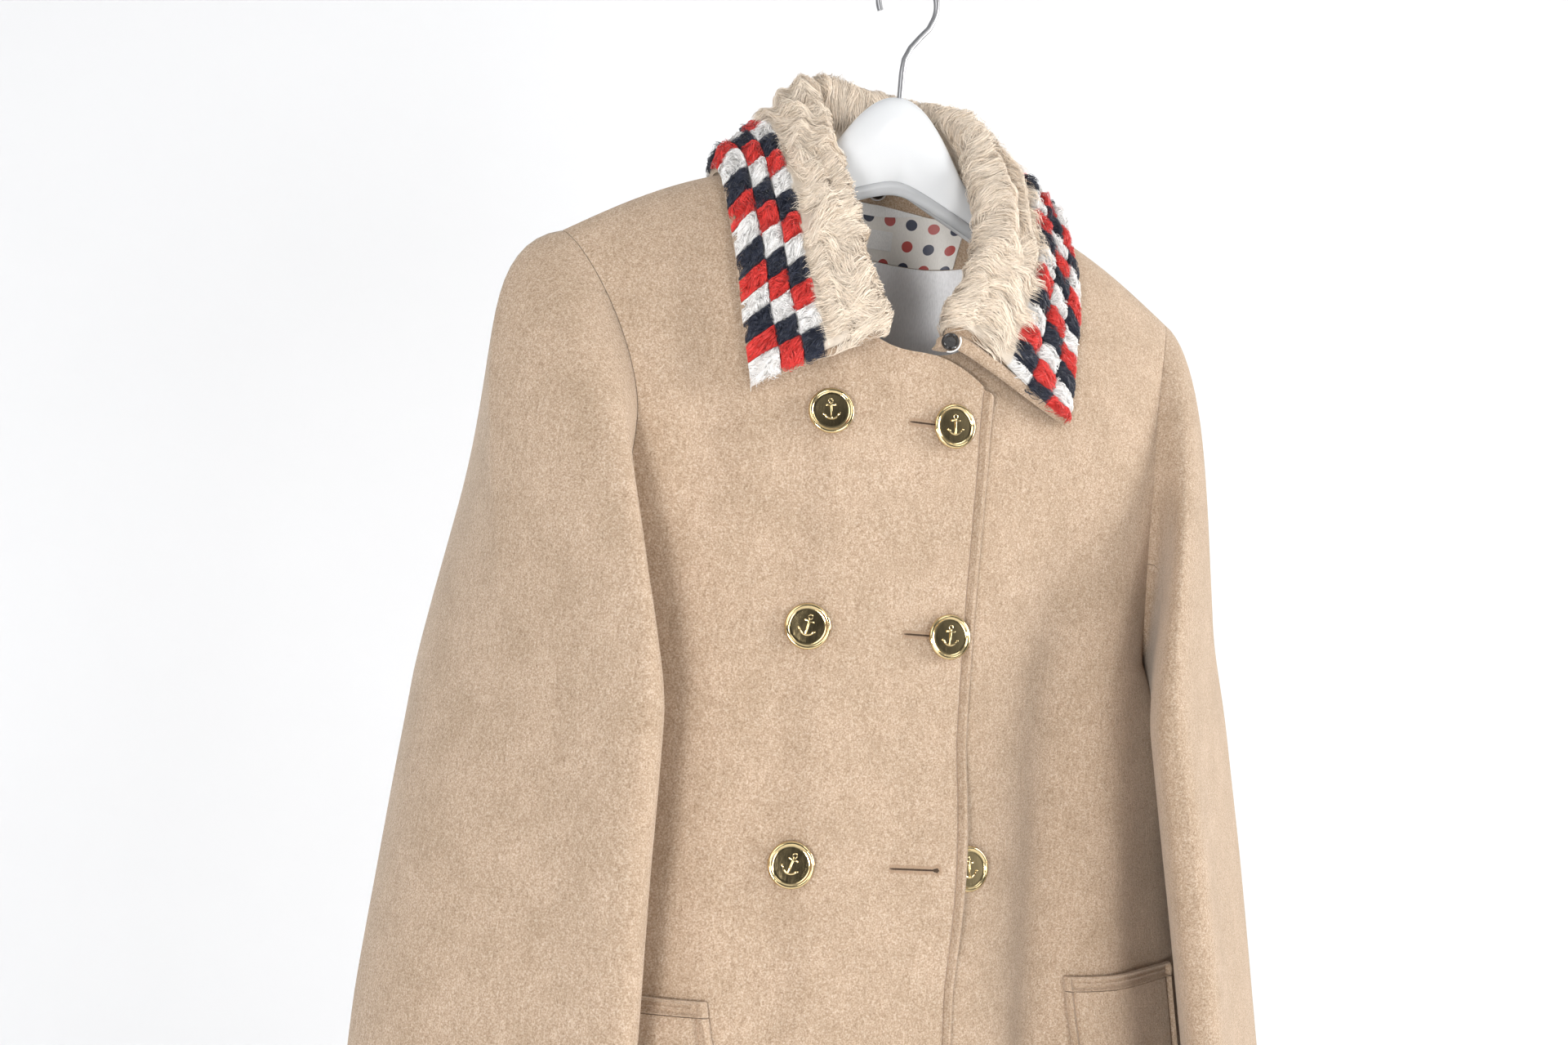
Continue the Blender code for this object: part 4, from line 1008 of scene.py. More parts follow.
def dotted_finish(settings):
    """Printed dots in two colours, in turn, on a pale ground."""
    look = Finish("dotted_lining", 0.45)
    scaled = look.vector("SCALE", look.coordinates("UV"), 1.0 / settings.pitch)
    centred = look.vector("SUBTRACT", look.vector("FRACTION", scaled), (0.5, 0.5, 0.0))
    flat = look.vector("MULTIPLY", centred, (1.0, 1.0, 0.0))
    in_dot = look.maths("LESS_THAN", look.vector("LENGTH", flat), settings.dot / settings.pitch)
    checker = look.add("ShaderNodeTexChecker")
    checker.inputs["Scale"].default_value = 1.0
    look.join(scaled, checker.inputs["Vector"])
    checker.inputs["Color1"].default_value = (*settings.navy, 1.0)
    checker.inputs["Color2"].default_value = (*settings.red, 1.0)
    weave = look.grain(1500.0, 2.0, 0.5, (1.0, 1.0, 0.25))
    ground = look.ramp(weave, *toned(settings.ground, (0.3, 0.92), (0.7, 1.0)))
    look.set(Sheen_Weight=0.2)
    return look.finish(look.blend(in_dot, ground, checker.outputs["Color"]), look.bump(weave, 0.0002, 0.3))


def tape_finish(colour):
    weave = (1900.0, 2.0, 0.5, (1.0, 1.0, 0.4))
    return grained_finish("white_tape", 0.7, colour, ((0.3, 0.84), (0.7, 1.0)), weave, (0.0003, 0.5))


def brass_finish(colour):
    """Polished brass with fine rubbed scratches."""
    look = Finish("polished_brass", 0.10, 1.0)
    rubbed = look.grain(900.0, 4.0, 0.7, (1.0, 1.0, 0.15))
    tone = look.ramp(rubbed, *toned(colour, (0.30, 0.86), (0.70, 1.0)))
    gloss = look.ramp(rubbed, (0.30, (0.06, 0.06, 0.06)), (0.75, (0.17, 0.17, 0.17)))
    return look.finish(tone, look.bump(rubbed, 0.00004, 0.3), gloss)


def dark_finish(colour):
    tones = ((0.3, 1.0), (0.8, 2.2))
    swirl = (500.0, 3.0, 0.6)
    return grained_finish("dark_plastic", 0.22, colour, tones, swirl, (0.0001, 0.2), Coat_Weight=0.4)


def plastic_finish(name, colour, clearness):
    """Milky moulded plastic that lets some light through."""
    look = Finish(name, 0.26)
    flow = look.grain(24.0, 3.0, 0.55)
    tone = look.ramp(flow, *toned(colour, (0.3, 0.96), (0.7, 1.0)))
    fine = look.grain(320.0, 3.0, 0.6)
    look.set(Transmission_Weight=clearness, IOR=1.46, Coat_Weight=0.25)
    return look.finish(tone, look.bump(fine, 0.00006, 0.35))


def wire_finish(colour):
    drawn = (700.0, 3.0, 0.6, (1.0, 1.0, 0.08))
    return grained_finish("steel_wire", 0.32, colour, ((0.3, 0.75), (0.7, 1.0)), drawn, (0.00005, 0.4), 1.0)


def wall_finish(colour):
    look = Finish("pale_wall", 0.9)
    even = look.grain(3.0, 2.0, 0.5)
    return look.finish(look.ramp(even, *toned(colour, (0.3, 0.985), (0.7, 1.0))))


@lru_cache(maxsize=None)
def shared_finish(name):
    """A finish that several pieces share."""
    scene = bpy.context.scene
    makers = {
        "wool": lambda: wool_finish(scene.coat_wool),
        "thread": lambda: thread_finish(scene.coat_wool.thread),
        "fur": fur_finish,
        "tape": lambda: tape_finish(scene.coat_lining.tape),
        "brass": lambda: brass_finish(scene.coat_fastenings.brass),
        "dark": lambda: dark_finish(scene.coat_fastenings.dark),
    }
    return makers[name]()


# Body skins


@lru_cache(maxsize=None)
def front_skin(name):
    """Outer skin, seam normals and the distance in from the front edge for each column of one front."""
    settings = bpy.context.scene.coat_wool
    laps = {
        "right_front": (RIGHT_LAP, RIGHT_LAP_DIP, RIGHT_LAP_LEAN),
        "left_front": (LEFT_LAP, LEFT_LAP_DIP, 0.0),
    }
    lap, lap_dip, lap_lean = laps[name]
    side = name.split("_")[0]
    columns = front_columns(side, lap, lap_dip)
    plain = half_panel("front", side, columns, lap_lean)
    outer = pushed(name, plain, grid_normals(plain, INSIDE), lapped=side == "right")
    outer = slack(outer, grid_normals(outer, INSIDE), settings.slackness, len(name))
    normals = level_seam_normals(grid_normals(outer, INSIDE), [slice(-SHOULDER_STEPS - 1, None)], [-1])
    insets = np.array([along + lap for along, _, _ in columns])
    return outer, normals, insets


@lru_cache(maxsize=None)
def back_skin():
    settings = bpy.context.scene.coat_wool
    right, left = (half_panel("back", side, back_columns()) for side in ("right", "left"))
    plain = np.concatenate((right[:, :0:-1], left), axis=1)
    outer = pushed("back_panel", plain, grid_normals(plain, INSIDE))
    outer = slack(outer, grid_normals(outer, INSIDE), settings.slackness, 3.0)
    shoulders = [slice(0, BACK_SHOULDER_STEPS + 1), slice(-BACK_SHOULDER_STEPS - 1, None)]
    normals = level_seam_normals(grid_normals(outer, INSIDE), shoulders, [0, -1])
    return outer, normals


@lru_cache(maxsize=None)
def front_tree(name):
    return skin_tree(*front_skin(name)[:2])


class COAT_OT_body(bpy.types.Operator):
    """Make both fronts and the back."""

    bl_idname = "coat.body"
    bl_label = "Fronts and back"

    def execute(self, context):
        settings = context.scene.coat_wool
        for name in ("right_front", "left_front"):
            outer, normals, insets = front_skin(name)
            relief = groove_profile(insets, settings.stitch_inset, settings.groove)
            face = outer + normals * relief[None, :, None]
            self.panel(name, name, (outer, normals, face), {"right": -1})
        outer, normals = back_skin()
        self.panel("back", "back_panel", (outer, normals, outer), {"left": 0, "right": -1})
        return {"FINISHED"}

    def panel(self, name, node, skin, seams):
        """One panel of the body, sewn along its top and down the sides named."""
        outer, normals, face = skin
        inner = seam_lapped(outer - normals * CLOTH, list(seams.values()))
        mesh = wall_mesh(name, trimmed(face, "top", *seams), trimmed(inner, "top", *seams))
        declare_cloth(wool_piece(name, mesh, node), outer)


# Sleeves


def armhole_loop(front, back, back_column):
    """Points and normals round one armhole: from the underarm up the front to the tip, then down the back."""
    last = len(TOP_SHARES) - 1 + ARMHOLE_STEPS
    up = range(last, -1, -1)
    down = range(1, last)
    points = [front[0][row, -1] for row in up] + [back[0][row, back_column] for row in down]
    normals = [front[1][row, -1] for row in up] + [back[1][row, back_column] for row in down]
    return np.array(points), np.array(normals)


def loop_angles(points):
    """Angles round the sleeve for the loop's points: 0 at the underarm, 180 degrees at the shoulder tip."""
    along = run_lengths(np.concatenate((points, points[:1])))
    tip = len(points) // 2
    front = along[: tip + 1] / along[tip] * math.pi
    back = math.pi + (along[tip:] - along[tip]) / (along[-1] - along[tip]) * math.pi
    return np.concatenate((front, back[1:-1]))


def sleeve_ring(table, height, angles):
    values = {column: read_table(table, column, height) for column in SleeveSection._fields[1:]}
    side = math.copysign(1.0, values["centre_x"])
    turn = math.radians(values["turn"])
    towards_front = np.array((-side * math.cos(turn), -math.sin(turn), 0.0))
    towards_body = np.array((-side * math.sin(turn), math.cos(turn), 0.0))
    centre = np.array((values["centre_x"], values["centre_y"], height))
    round_cos = np.sign(np.cos(angles)) * np.abs(np.cos(angles)) ** SLEEVE_ROUNDNESS
    across = np.outer(round_cos, towards_body) * values["thickness"] / 2.0
    lengthways = np.outer(np.sin(angles), towards_front) * values["width"] / 2.0
    return centre + across + lengthways


def sleeve_folds(points, angles, seed):
    """How far each point of a sleeve stands out or in for its soft folds."""
    degrees = np.degrees(angles)[None, :]
    heights = points[:, :, 2]
    push = np.zeros(heights.shape)
    for fold in SLEEVE_FOLDS:
        reach = np.clip((fold.top - heights) / (fold.top - fold.foot), 0.0, 1.0)
        push += fold.depth * np.sin(math.pi * reach) * np.exp(-(((degrees - fold.degrees) / fold.width) ** 2))
    for place in np.ndindex(heights.shape):
        spot = points[place]
        push[place] += 0.0012 * noise.noise(Vector((spot[0] * 14.0 + seed, spot[1] * 14.0, spot[2] * 9.0)))
    rows = np.arange(len(points))[:, None] / 9.0
    return push * np.clip(rows, 0.0, 1.0)


@lru_cache(maxsize=None)
def sleeve_skin(side):
    """Outer skin of a whole sleeve, its normals and the angle of each column."""
    table = RIGHT_SLEEVE if side == "right" else LEFT_SLEEVE
    front = front_skin(f"{side}_front")
    start, start_normals = armhole_loop(front, back_skin(), 0 if side == "right" else -1)
    angles = loop_angles(start)
    start[:, 2] += UNDERARM_GAP * np.clip(np.cos(angles), 0.0, 1.0)
    under = np.clip(np.cos(angles), 0.0, 1.0)
    over = np.clip(-np.cos(angles), 0.0, 1.0)
    sideways = SIDE_SIGN[side] * (CAP_OUT + CAP_SWELL[side] * under + CAP_CROWN[side] * over)
    forward = -CAP_FORWARD[side] * np.sin(angles)
    leaving = unit(np.stack((sideways, forward, CAP_LIFT + CAP_RISE * np.cos(angles)), axis=1))
    top = table[-1].height
    cuff = table[0].height
    first_ring = sleeve_ring(table, top, angles)
    length = np.linalg.norm(first_ring - start, axis=1, keepdims=True)
    falling = (sleeve_ring(table, top - CAP_STEP, angles) - first_ring) / CAP_STEP * length
    rows = [
        hermite(start, first_ring, leaving * length * CAP_FULLNESS[side], falling, share)
        for share in np.linspace(0.0, 1.0, SLEEVE_CAP_STEPS + 1)
    ]
    rows += [sleeve_ring(table, height, angles) for height in np.linspace(top, cuff, SLEEVE_STEPS + 1)[1:]]
    outer = np.array(rows)
    normals = sleeve_normals(outer)
    outer = outer + normals * sleeve_folds(outer, angles, SIDE_SIGN[side])[:, :, None]
    normals = sleeve_normals(outer)
    normals[0] = start_normals
    return outer, normals, angles


def sleeve_normals(outer):
    around = np.roll(outer, -1, axis=1) - np.roll(outer, 1, axis=1)
    normals = unit(np.cross(np.gradient(outer, axis=0), around))
    if np.sum(normals[-1] * (outer[-1] - outer[-1].mean(axis=0))) < 0.0:
        normals = -normals
    return normals


class COAT_OT_sleeves(bpy.types.Operator):
    """Make both sleeves, each from a top and an under piece."""

    bl_idname = "coat.sleeves"
    bl_label = "Sleeves"

    def execute(self, context):
        for side in ("right", "left"):
            outer, normals, angles = sleeve_skin(side)
            inner = outer - normals * CLOTH
            degrees = np.degrees(angles)
            front_seam = int(np.argmin(np.abs(degrees - SLEEVE_FRONT_SEAM)))
            back_seam = int(np.argmin(np.abs(degrees - SLEEVE_BACK_SEAM)))
            spans = {
                "top_sleeve": list(range(front_seam, back_seam + 1)),
                "under_sleeve": list(range(back_seam, len(angles))) + list(range(front_seam + 1)),
            }
            for piece, columns in spans.items():
                skins = [trimmed(skin[:, columns], "top", "left", "right") for skin in (outer, inner)]
                name = f"{side}_{piece}"
                made = wool_piece(name, wall_mesh(name, *skins))
                declare_cloth(made, outer[:, columns])
        return {"FINISHED"}


# Collar


def collar_neck_point(share, side):
    """The neck seam of one side, from the centre back (0) to the front end (1)."""
    if share <= COLLAR_BACK_SHARE:
        return back_neck_point(share / COLLAR_BACK_SHARE * math.pi / 2.0)
    end_x = COLLAR_RIGHT_END_X if side > 0.0 else COLLAR_END_X
    end_angle = math.asin(end_x / NECK_HALF)
    gone = (share - COLLAR_BACK_SHARE) / (1.0 - COLLAR_BACK_SHARE)
    return front_neck_point(math.pi / 2.0 + (end_angle - math.pi / 2.0) * gone)


def collar_profile(around, shares):
    """Points from the neck seam (0) over the roll to the outer edge (1), at a place round the collar.

    The place runs from -1, the front end at the wearer's right, over 0, the centre back, to 1.
    """
    side = -1.0 if around < 0.0 else 1.0
    share = abs(around)
    columns = {column: read_table(COLLAR_STATIONS, column, share) for column in CollarStation._fields[1:]}
    neck = collar_neck_point(share, side)
    roll = np.array((columns["roll_x"], columns["roll_y"], columns["roll_z"]))
    edge = np.array((columns["edge_x"], columns["edge_y"], columns["edge_z"]))
    if side > 0.0:
        roll[0] += (COLLAR_RIGHT_END_X - COLLAR_END_X) * smooth_step(share, 0.6, 1.0)
    stand = roll - neck
    leaf = edge - roll
    rise = unit(stand)
    neck = neck + np.array((0.0, 0.0, 0.0009 + 0.0032 * (1.0 - abs(rise[2]))))
    lift = COLLAR_LIFT * smooth_step(share, 0.4, 0.6)
    if side < 0.0:
        lift = LAP_LIFT * smooth_step(share, 0.6, 0.85)
    neck = neck + np.array((0.0, -0.5, 0.9)) * lift
    over = unit(rise + unit(leaf)) * 0.030
    points = []
    for place in shares:
        if place < ROLL_SHARE:
            step = place / ROLL_SHARE
            point = hermite(neck, roll, rise * np.linalg.norm(stand), over * 0.6, step)
        else:
            step = (place - ROLL_SHARE) / (1.0 - ROLL_SHARE)
            point = hermite(roll, edge, over, unit(leaf) * np.linalg.norm(leaf), step)
        points.append(point * np.array((side, 1.0, 1.0)))
    return points


def collar_grid(arounds, shares):
    """Middle surface of the collar cloth and its upper-side normals, a row for each place round the neck."""
    points = np.array([collar_profile(around, shares) for around in arounds])
    normals = unit(np.cross(np.gradient(points, axis=0), np.gradient(points, axis=1)))
    if normals[len(arounds) // 2, len(shares) // 2, 2] < 0.0:
        normals = -normals
    return points, normals


def fur_depth(arounds, shares):
    """Fur thickness: thin down the stand, full over the roll and leaf, rounded down towards its edges."""
    ends = np.minimum(arounds - arounds[0], arounds[-1] - arounds)
    stand = 0.35 + 0.65 * np.clip((shares - shares[0]) / 0.25, 0.0, 1.0)
    end_round = np.clip(ends / 0.05, 0.0, 1.0)[:, None]
    edge_round = np.clip((shares[-1] - shares) / 0.12, 0.0, 1.0)[None, :]
    rounding = np.sqrt(1.0 - (1.0 - np.minimum(end_round, edge_round)) ** 2)
    return FUR_DEPTH * stand[None, :] * (0.5 + 0.5 * rounding)


class COAT_OT_collar(bpy.types.Operator):
    """Make the under collar of coat cloth."""

    bl_idname = "coat.collar"
    bl_label = "Under collar"

    def execute(self, context):
        settings = context.scene.coat_wool
        arounds = np.concatenate((np.linspace(-1.0, 0.93, 130), np.linspace(0.935, 1.0, 14)))
        shares = np.concatenate((np.linspace(0.0, 0.90, 38), np.linspace(0.915, 1.0, 10)))
        middle, normals = collar_grid(arounds, shares)
        half = normals * CLOTH / 2.0
        end_run = run_lengths(middle[:, -6])
        edge_run = run_lengths(middle[len(arounds) // 2])
        insets = np.minimum((end_run[-1] - end_run)[:, None], (edge_run[-1] - edge_run)[None, :])
        groove = groove_profile(insets, settings.stitch_inset, settings.groove)[:, :, None]
        mesh = wall_mesh("under_collar", middle + half + normals * groove, middle - half)
        piece = wool_piece("under_collar", mesh)
        declare_cloth(piece, middle)
        return {"FINISHED"}


# Fur


def sampled(grid, rows, columns):
    """Values of a grid at fractional rows and columns."""
    low_row = np.clip(rows.astype(int), 0, grid.shape[0] - 2)
    low_column = np.clip(columns.astype(int), 0, grid.shape[1] - 2)
    down = np.clip(rows - low_row, 0.0, 1.0)
    across = np.clip(columns - low_column, 0.0, 1.0)
    if grid.ndim == 3:
        down = down[..., None]
        across = across[..., None]
    top = grid[low_row, low_column] * (1.0 - across) + grid[low_row, low_column + 1] * across
    foot = grid[low_row + 1, low_column] * (1.0 - across) + grid[low_row + 1, low_column + 1] * across
    return top * (1.0 - down) + foot * down


class Pelt:
    """The collar's upper side as the fur grows on it, with distances round it and out from the neck."""

    def __init__(self):
        self.arounds = np.linspace(-1.0 + FUR_START, FUR_TIP_END, 300)
        self.shares = np.linspace(FUR_NECK_START, FUR_EDGE, 90)
        middle, normals = collar_grid(self.arounds, self.shares)
        rows, columns = self.slanted()
        self.normals = unit(sampled(normals, rows, columns))
        self.base = sampled(middle, rows, columns) + self.normals * (CLOTH / 2.0 + LAYER_GAP)
        self.outward = unit(np.gradient(self.base, axis=1))
        self.round = unit(np.gradient(self.base, axis=0))
        self.parting = int(np.argmin(np.abs(self.shares - FUR_BORDER_START)))
        self.round_run = run_lengths(self.base[:, self.parting])
        self.out_run = run_lengths(self.base[len(self.arounds) // 4])
        self.patch_start = np.interp(FUR_PATCH_START, self.shares, self.out_run)
        self.row_depth = (self.out_run[-1] - self.patch_start) / 3.0
        self.depth = fur_depth(self.arounds, self.shares) * self.waves()

    def slanted(self):
        """Rows and columns of the collar under the fur, whose left end runs out slantwise to the tip."""
        slant = np.array([smooth_step(share, 0.40, 0.95) for share in self.shares])
        end = FUR_END + (FUR_TIP_END - FUR_END) * slant
        reach = (end - self.arounds[0]) / (self.arounds[-1] - self.arounds[0])
        rows = np.arange(len(self.arounds))[:, None] * reach[None, :]
        return rows, np.broadcast_to(np.arange(float(len(self.shares))), rows.shape)

    def waves(self):
        """The crimped waves that the hair lies in, bent every way, and shallower on the border."""
        waves = np.zeros(self.base.shape[:2])
        for row, column in np.ndindex(waves.shape):
            spot = Vector(self.base[row, column])
            bend = 5.0 * noise.noise(spot * 28.0) + 1.7 * noise.noise(spot * 80.0)
            height = 0.28 if self.out_run[column] < self.patch_start else 0.10
            wave = math.sin(math.tau * self.out_run[column] / FUR_WAVE + bend)
            waves[row, column] = 1.0 - height + height * wave
        return waves

    def place(self, round_run, out_run):
        """Points, normals and hair depth at distances round and out, running on and down past the edges."""
        rows = np.interp(round_run, self.round_run, np.arange(len(self.round_run)))
        columns = np.interp(out_run, self.out_run, np.arange(len(self.out_run)))
        points = sampled(self.base, rows, columns)
        normals = unit(sampled(self.normals, rows, columns))
        past_out = out_run - np.clip(out_run, 0.0, self.out_run[-1])
        past_round = round_run - np.clip(round_run, 0.0, self.round_run[-1])
        points = points + sampled(self.outward, rows, columns) * past_out[..., None] * 0.75
        points = points + sampled(self.round, rows, columns) * past_round[..., None] * 0.75
        points = points - normals * (np.abs(past_out) + np.abs(past_round))[..., None] * 0.65
        return points, normals, sampled(self.depth, rows, columns)

    def patch_at(self, round_run, out_run, patch):
        """Column and row of the border's patch at distances round and out."""
        column = np.maximum(np.floor(round_run / patch), 0.0)
        row = np.floor((out_run - self.patch_start) / self.row_depth)
        return column, np.clip(row, 0.0, 2.0)

    def kept_in(self, round_run, out_run, patch):
        """Strands drawn in to the patch that their middles lie on, and free past the collar's own edges."""
        column, row = self.patch_at(round_run[:, :, 2:3], out_run[:, :, 2:3], patch)
        low = np.where(column > 0.0, column * patch + PATCH_SEAM, -patch)
        near = self.patch_start + row * self.row_depth
        far = near + self.row_depth + np.where(row < 2.0, -PATCH_SEAM, HAIR_OVERHANG)
        round_run = np.clip(round_run, low, (column + 1.0) * patch - PATCH_SEAM)
        return round_run, np.clip(out_run, near + PATCH_SEAM, far)

    def puff(self, round_run, out_run, patch):
        """How full the border's patches are: full in the middle of each, drawn in along its seams."""
        across = np.sin(math.pi * (round_run / patch % 1.0))
        rows = (out_run - self.patch_start) / self.row_depth
        out = np.sin(math.pi * np.clip(rows, 0.0, 2.5))
        return np.where(rows < 0.0, 1.0, 0.60 + 0.40 * np.sqrt(np.abs(across * out)))

    def pad(self, first, last, patch):
        """Skins of the pelt under the hairs, between two columns, in the hair's waves or puffed patches."""
        base = self.base[:, first : last + 1]
        height = 0.58 * self.depth[:, first : last + 1]
        if patch:
            height = height * self.puff(self.round_run[:, None], self.out_run[None, first : last + 1], patch)
        return base + self.normals[:, first : last + 1] * height[:, :, None], base


@lru_cache(maxsize=None)
def pelt():
    return Pelt()


def tuft_centres(low_round, high_round, low_out, high_out, spacing, draws):
    """Tufts on a shaken lattice, as distances round and out."""
    across = np.arange(low_round + spacing / 2.0, high_round, spacing)
    out = np.arange(low_out + spacing / 2.0, high_out, spacing * 1.05)
    round_run, out_run = np.meshgrid(across, out, indexing="ij")
    round_run[:, ::2] += spacing / 2.0
    round_run = round_run + draws.normal(0.0, spacing * 0.20, round_run.shape)
    out_run = out_run + draws.normal(0.0, spacing * 0.20, out_run.shape)
    round_run = np.clip(round_run, low_round + spacing * 0.1, high_round - spacing * 0.1)
    return round_run.ravel(), np.clip(out_run.ravel(), low_out + spacing * 0.1, high_out - spacing * 0.1)


# How hair grows: lock length and spacing, strands, how locks turn, wave and clump, and the patch they keep to
HairStyle = namedtuple("HairStyle", "length tuft hairs drift scatter wave clump patch")
HAIR_STEPS = np.array((0.0, 0.25, 0.50, 0.75, 1.0))
HAIR_HEIGHTS = np.array((0.42, 0.80, 0.97, 1.0, 0.86))
HAIR_WIDTHS = np.array((0.80, 1.0, 0.95, 0.65))
# Painted shade and light along each strand, root to tip: darkest at the root, a little lighter at the tip
HAIR_SHADING = np.array((0.64, 0.64, 0.86, 0.86, 0.98, 0.98, 1.02, 1.02, 1.06))
HAIR_CORNERS = np.array((0, 1, 3, 2, 2, 3, 5, 4, 4, 5, 7, 6, 6, 7, 8))
HAIR_FACES = np.array((0, 4, 8, 12))


def hair_lines(centres, style, draws):
    """Distances round and out along each strand, and how near each is to the middle of its lock."""
    tufts = len(centres[0])
    shape = (tufts, style.hairs)
    spots = np.stack((centres[0] * 34.0, centres[1] * 42.0), axis=1)
    drift = np.array([noise.noise(Vector((x, y, style.drift))) for x, y in spots])
    heading = np.radians(style.drift * drift + draws.normal(0.0, style.scatter, tufts))
    turn = heading[:, None, None] + np.radians(draws.normal(0.0, 9.0, shape))[:, :, None]
    swing = draws.choice((-1.0, 1.0), tufts) * draws.uniform(0.55, 1.0, tufts) * style.wave
    phase = draws.uniform(-0.6, 0.6, tufts)
    share = HAIR_STEPS[None, None, :]
    wave = swing[:, None, None] * (np.sin(5.4 * share + phase[:, None, None]) - np.sin(phase)[:, None, None])
    spread = style.tuft * 0.44
    side = draws.normal(0.0, spread, shape)[:, :, None]
    behind = draws.normal(0.0, spread, shape)[:, :, None]
    long = draws.uniform(0.80, 1.15, tufts)[:, None] * draws.uniform(0.75, 1.08, shape)
    reach = style.length * long[:, :, None] * share
    across = side * (1.0 - style.clump * share**1.2) + wave
    along = behind * (1.0 - 0.35 * share) + reach
    round_run = centres[0][:, None, None] + across * np.cos(turn) + along * np.sin(turn)
    out_run = centres[1][:, None, None] + along * np.cos(turn) - across * np.sin(turn)
    if style.patch:
        round_run, out_run = pelt().kept_in(round_run, out_run, style.patch)
    round_run = np.maximum(round_run, -HAIR_OVERHANG)
    return round_run, out_run, np.exp(-((side / (1.5 * spread)) ** 2))


def hair_mesh(name, centres, colour_at, style, width, draws):
    """Flat tapered strands growing outward in waved locks that rise, roll over and lie down on the next."""
    tufts = len(centres[0])
    shape = (tufts, style.hairs)
    round_run, out_run, crest = hair_lines(centres, style, draws)
    points, normals, depth = pelt().place(round_run, out_run)
    stand = draws.uniform(0.90, 1.08, tufts)[:, None] * draws.normal(1.0, 0.06, shape)
    lifted = depth * HAIR_HEIGHTS * stand[:, :, None] * (1.0 - 0.55 * style.clump * (1.0 - crest))
    if style.patch:
        lifted = lifted * pelt().puff(round_run, out_run, style.patch)
    middle = points + normals * lifted[..., None]
    tangent = unit(np.gradient(middle, axis=2))
    roll = draws.normal(0.0, 0.55, shape)[:, :, None, None]
    breadth = unit(np.cross(tangent, normals) * np.cos(roll) + normals * np.sin(roll))
    half = breadth[:, :, :-1] * (width * 0.5 * HAIR_WIDTHS)[:, None]
    sides = np.stack((middle[:, :, :-1] - half, middle[:, :, :-1] + half), axis=3)
    corners = len(HAIR_SHADING)
    verts = np.concatenate((sides.reshape(*shape, corners - 1, 3), middle[:, :, -1:]), axis=2)
    verts = verts.reshape(-1, corners, 3)
    hairs = len(verts)
    # Random tone for each lock and strand, times painted shade: darker at a lock's sides than at its middle,
    # and along each strand by HAIR_SHADING
    tone = draws.normal(1.0, 0.03, tufts)[:, None] * draws.normal(1.0, 0.06, shape)
    tone = tone * (0.92 + 0.08 * crest[..., 0])
    dyes = colour_at(round_run[:, :, 2], out_run[:, :, 2]).reshape(-1, 1, 3)
    colours = dyes * (tone.reshape(-1, 1) * HAIR_SHADING)[:, :, None]
    colours = np.concatenate((np.clip(colours, 0.0, 1.0), np.ones((hairs, corners, 1))), axis=2)
    mesh = bpy.data.meshes.new(name)
    mesh.vertices.add(hairs * corners)
    mesh.vertices.foreach_set("co", verts.reshape(-1))
    loops = np.arange(hairs)[:, None] * corners + HAIR_CORNERS
    mesh.loops.add(loops.size)
    mesh.loops.foreach_set("vertex_index", loops.reshape(-1).astype(np.int32))
    starts = np.arange(hairs)[:, None] * len(HAIR_CORNERS) + HAIR_FACES
    mesh.polygons.add(starts.size)
    mesh.polygons.foreach_set("loop_start", starts.reshape(-1).astype(np.int32))
    mesh.update(calc_edges=True)
    # The strands' colour attribute: their dye with the painted shade multiplied in
    dye_and_shade = mesh.attributes.new("dye_and_shade", "FLOAT_COLOR", "POINT")
    dye_and_shade.data.foreach_set("color", colours.reshape(-1).astype(np.float32))
    return mesh


def dye_and_shade_pad(mesh, colour_at):
    """Colours a pelt's own skin with painted shade: its dye darkened to 0.70, a little deeper than its hair.
    """
    dye_and_shade = mesh.attributes.new("dye_and_shade", "FLOAT_COLOR", "POINT")
    colours = [(*(0.70 * channel for channel in colour_at(vert.co)), 1.0) for vert in mesh.vertices]
    dye_and_shade.data.foreach_set("color", np.array(colours, np.float32).reshape(-1))


def patch_colours(round_run, out_run, settings):
    """The border's patchwork: three rows of square patches in three colours, each row a step along."""
    palette = np.array((settings.navy, settings.white, settings.red))
    column, row = pelt().patch_at(round_run, out_run, settings.patch)
    patches = palette[((column + 2.0 * row) % 3.0).astype(int)]
    return np.where(np.asarray(out_run < pelt().patch_start)[..., None], settings.cream, patches)


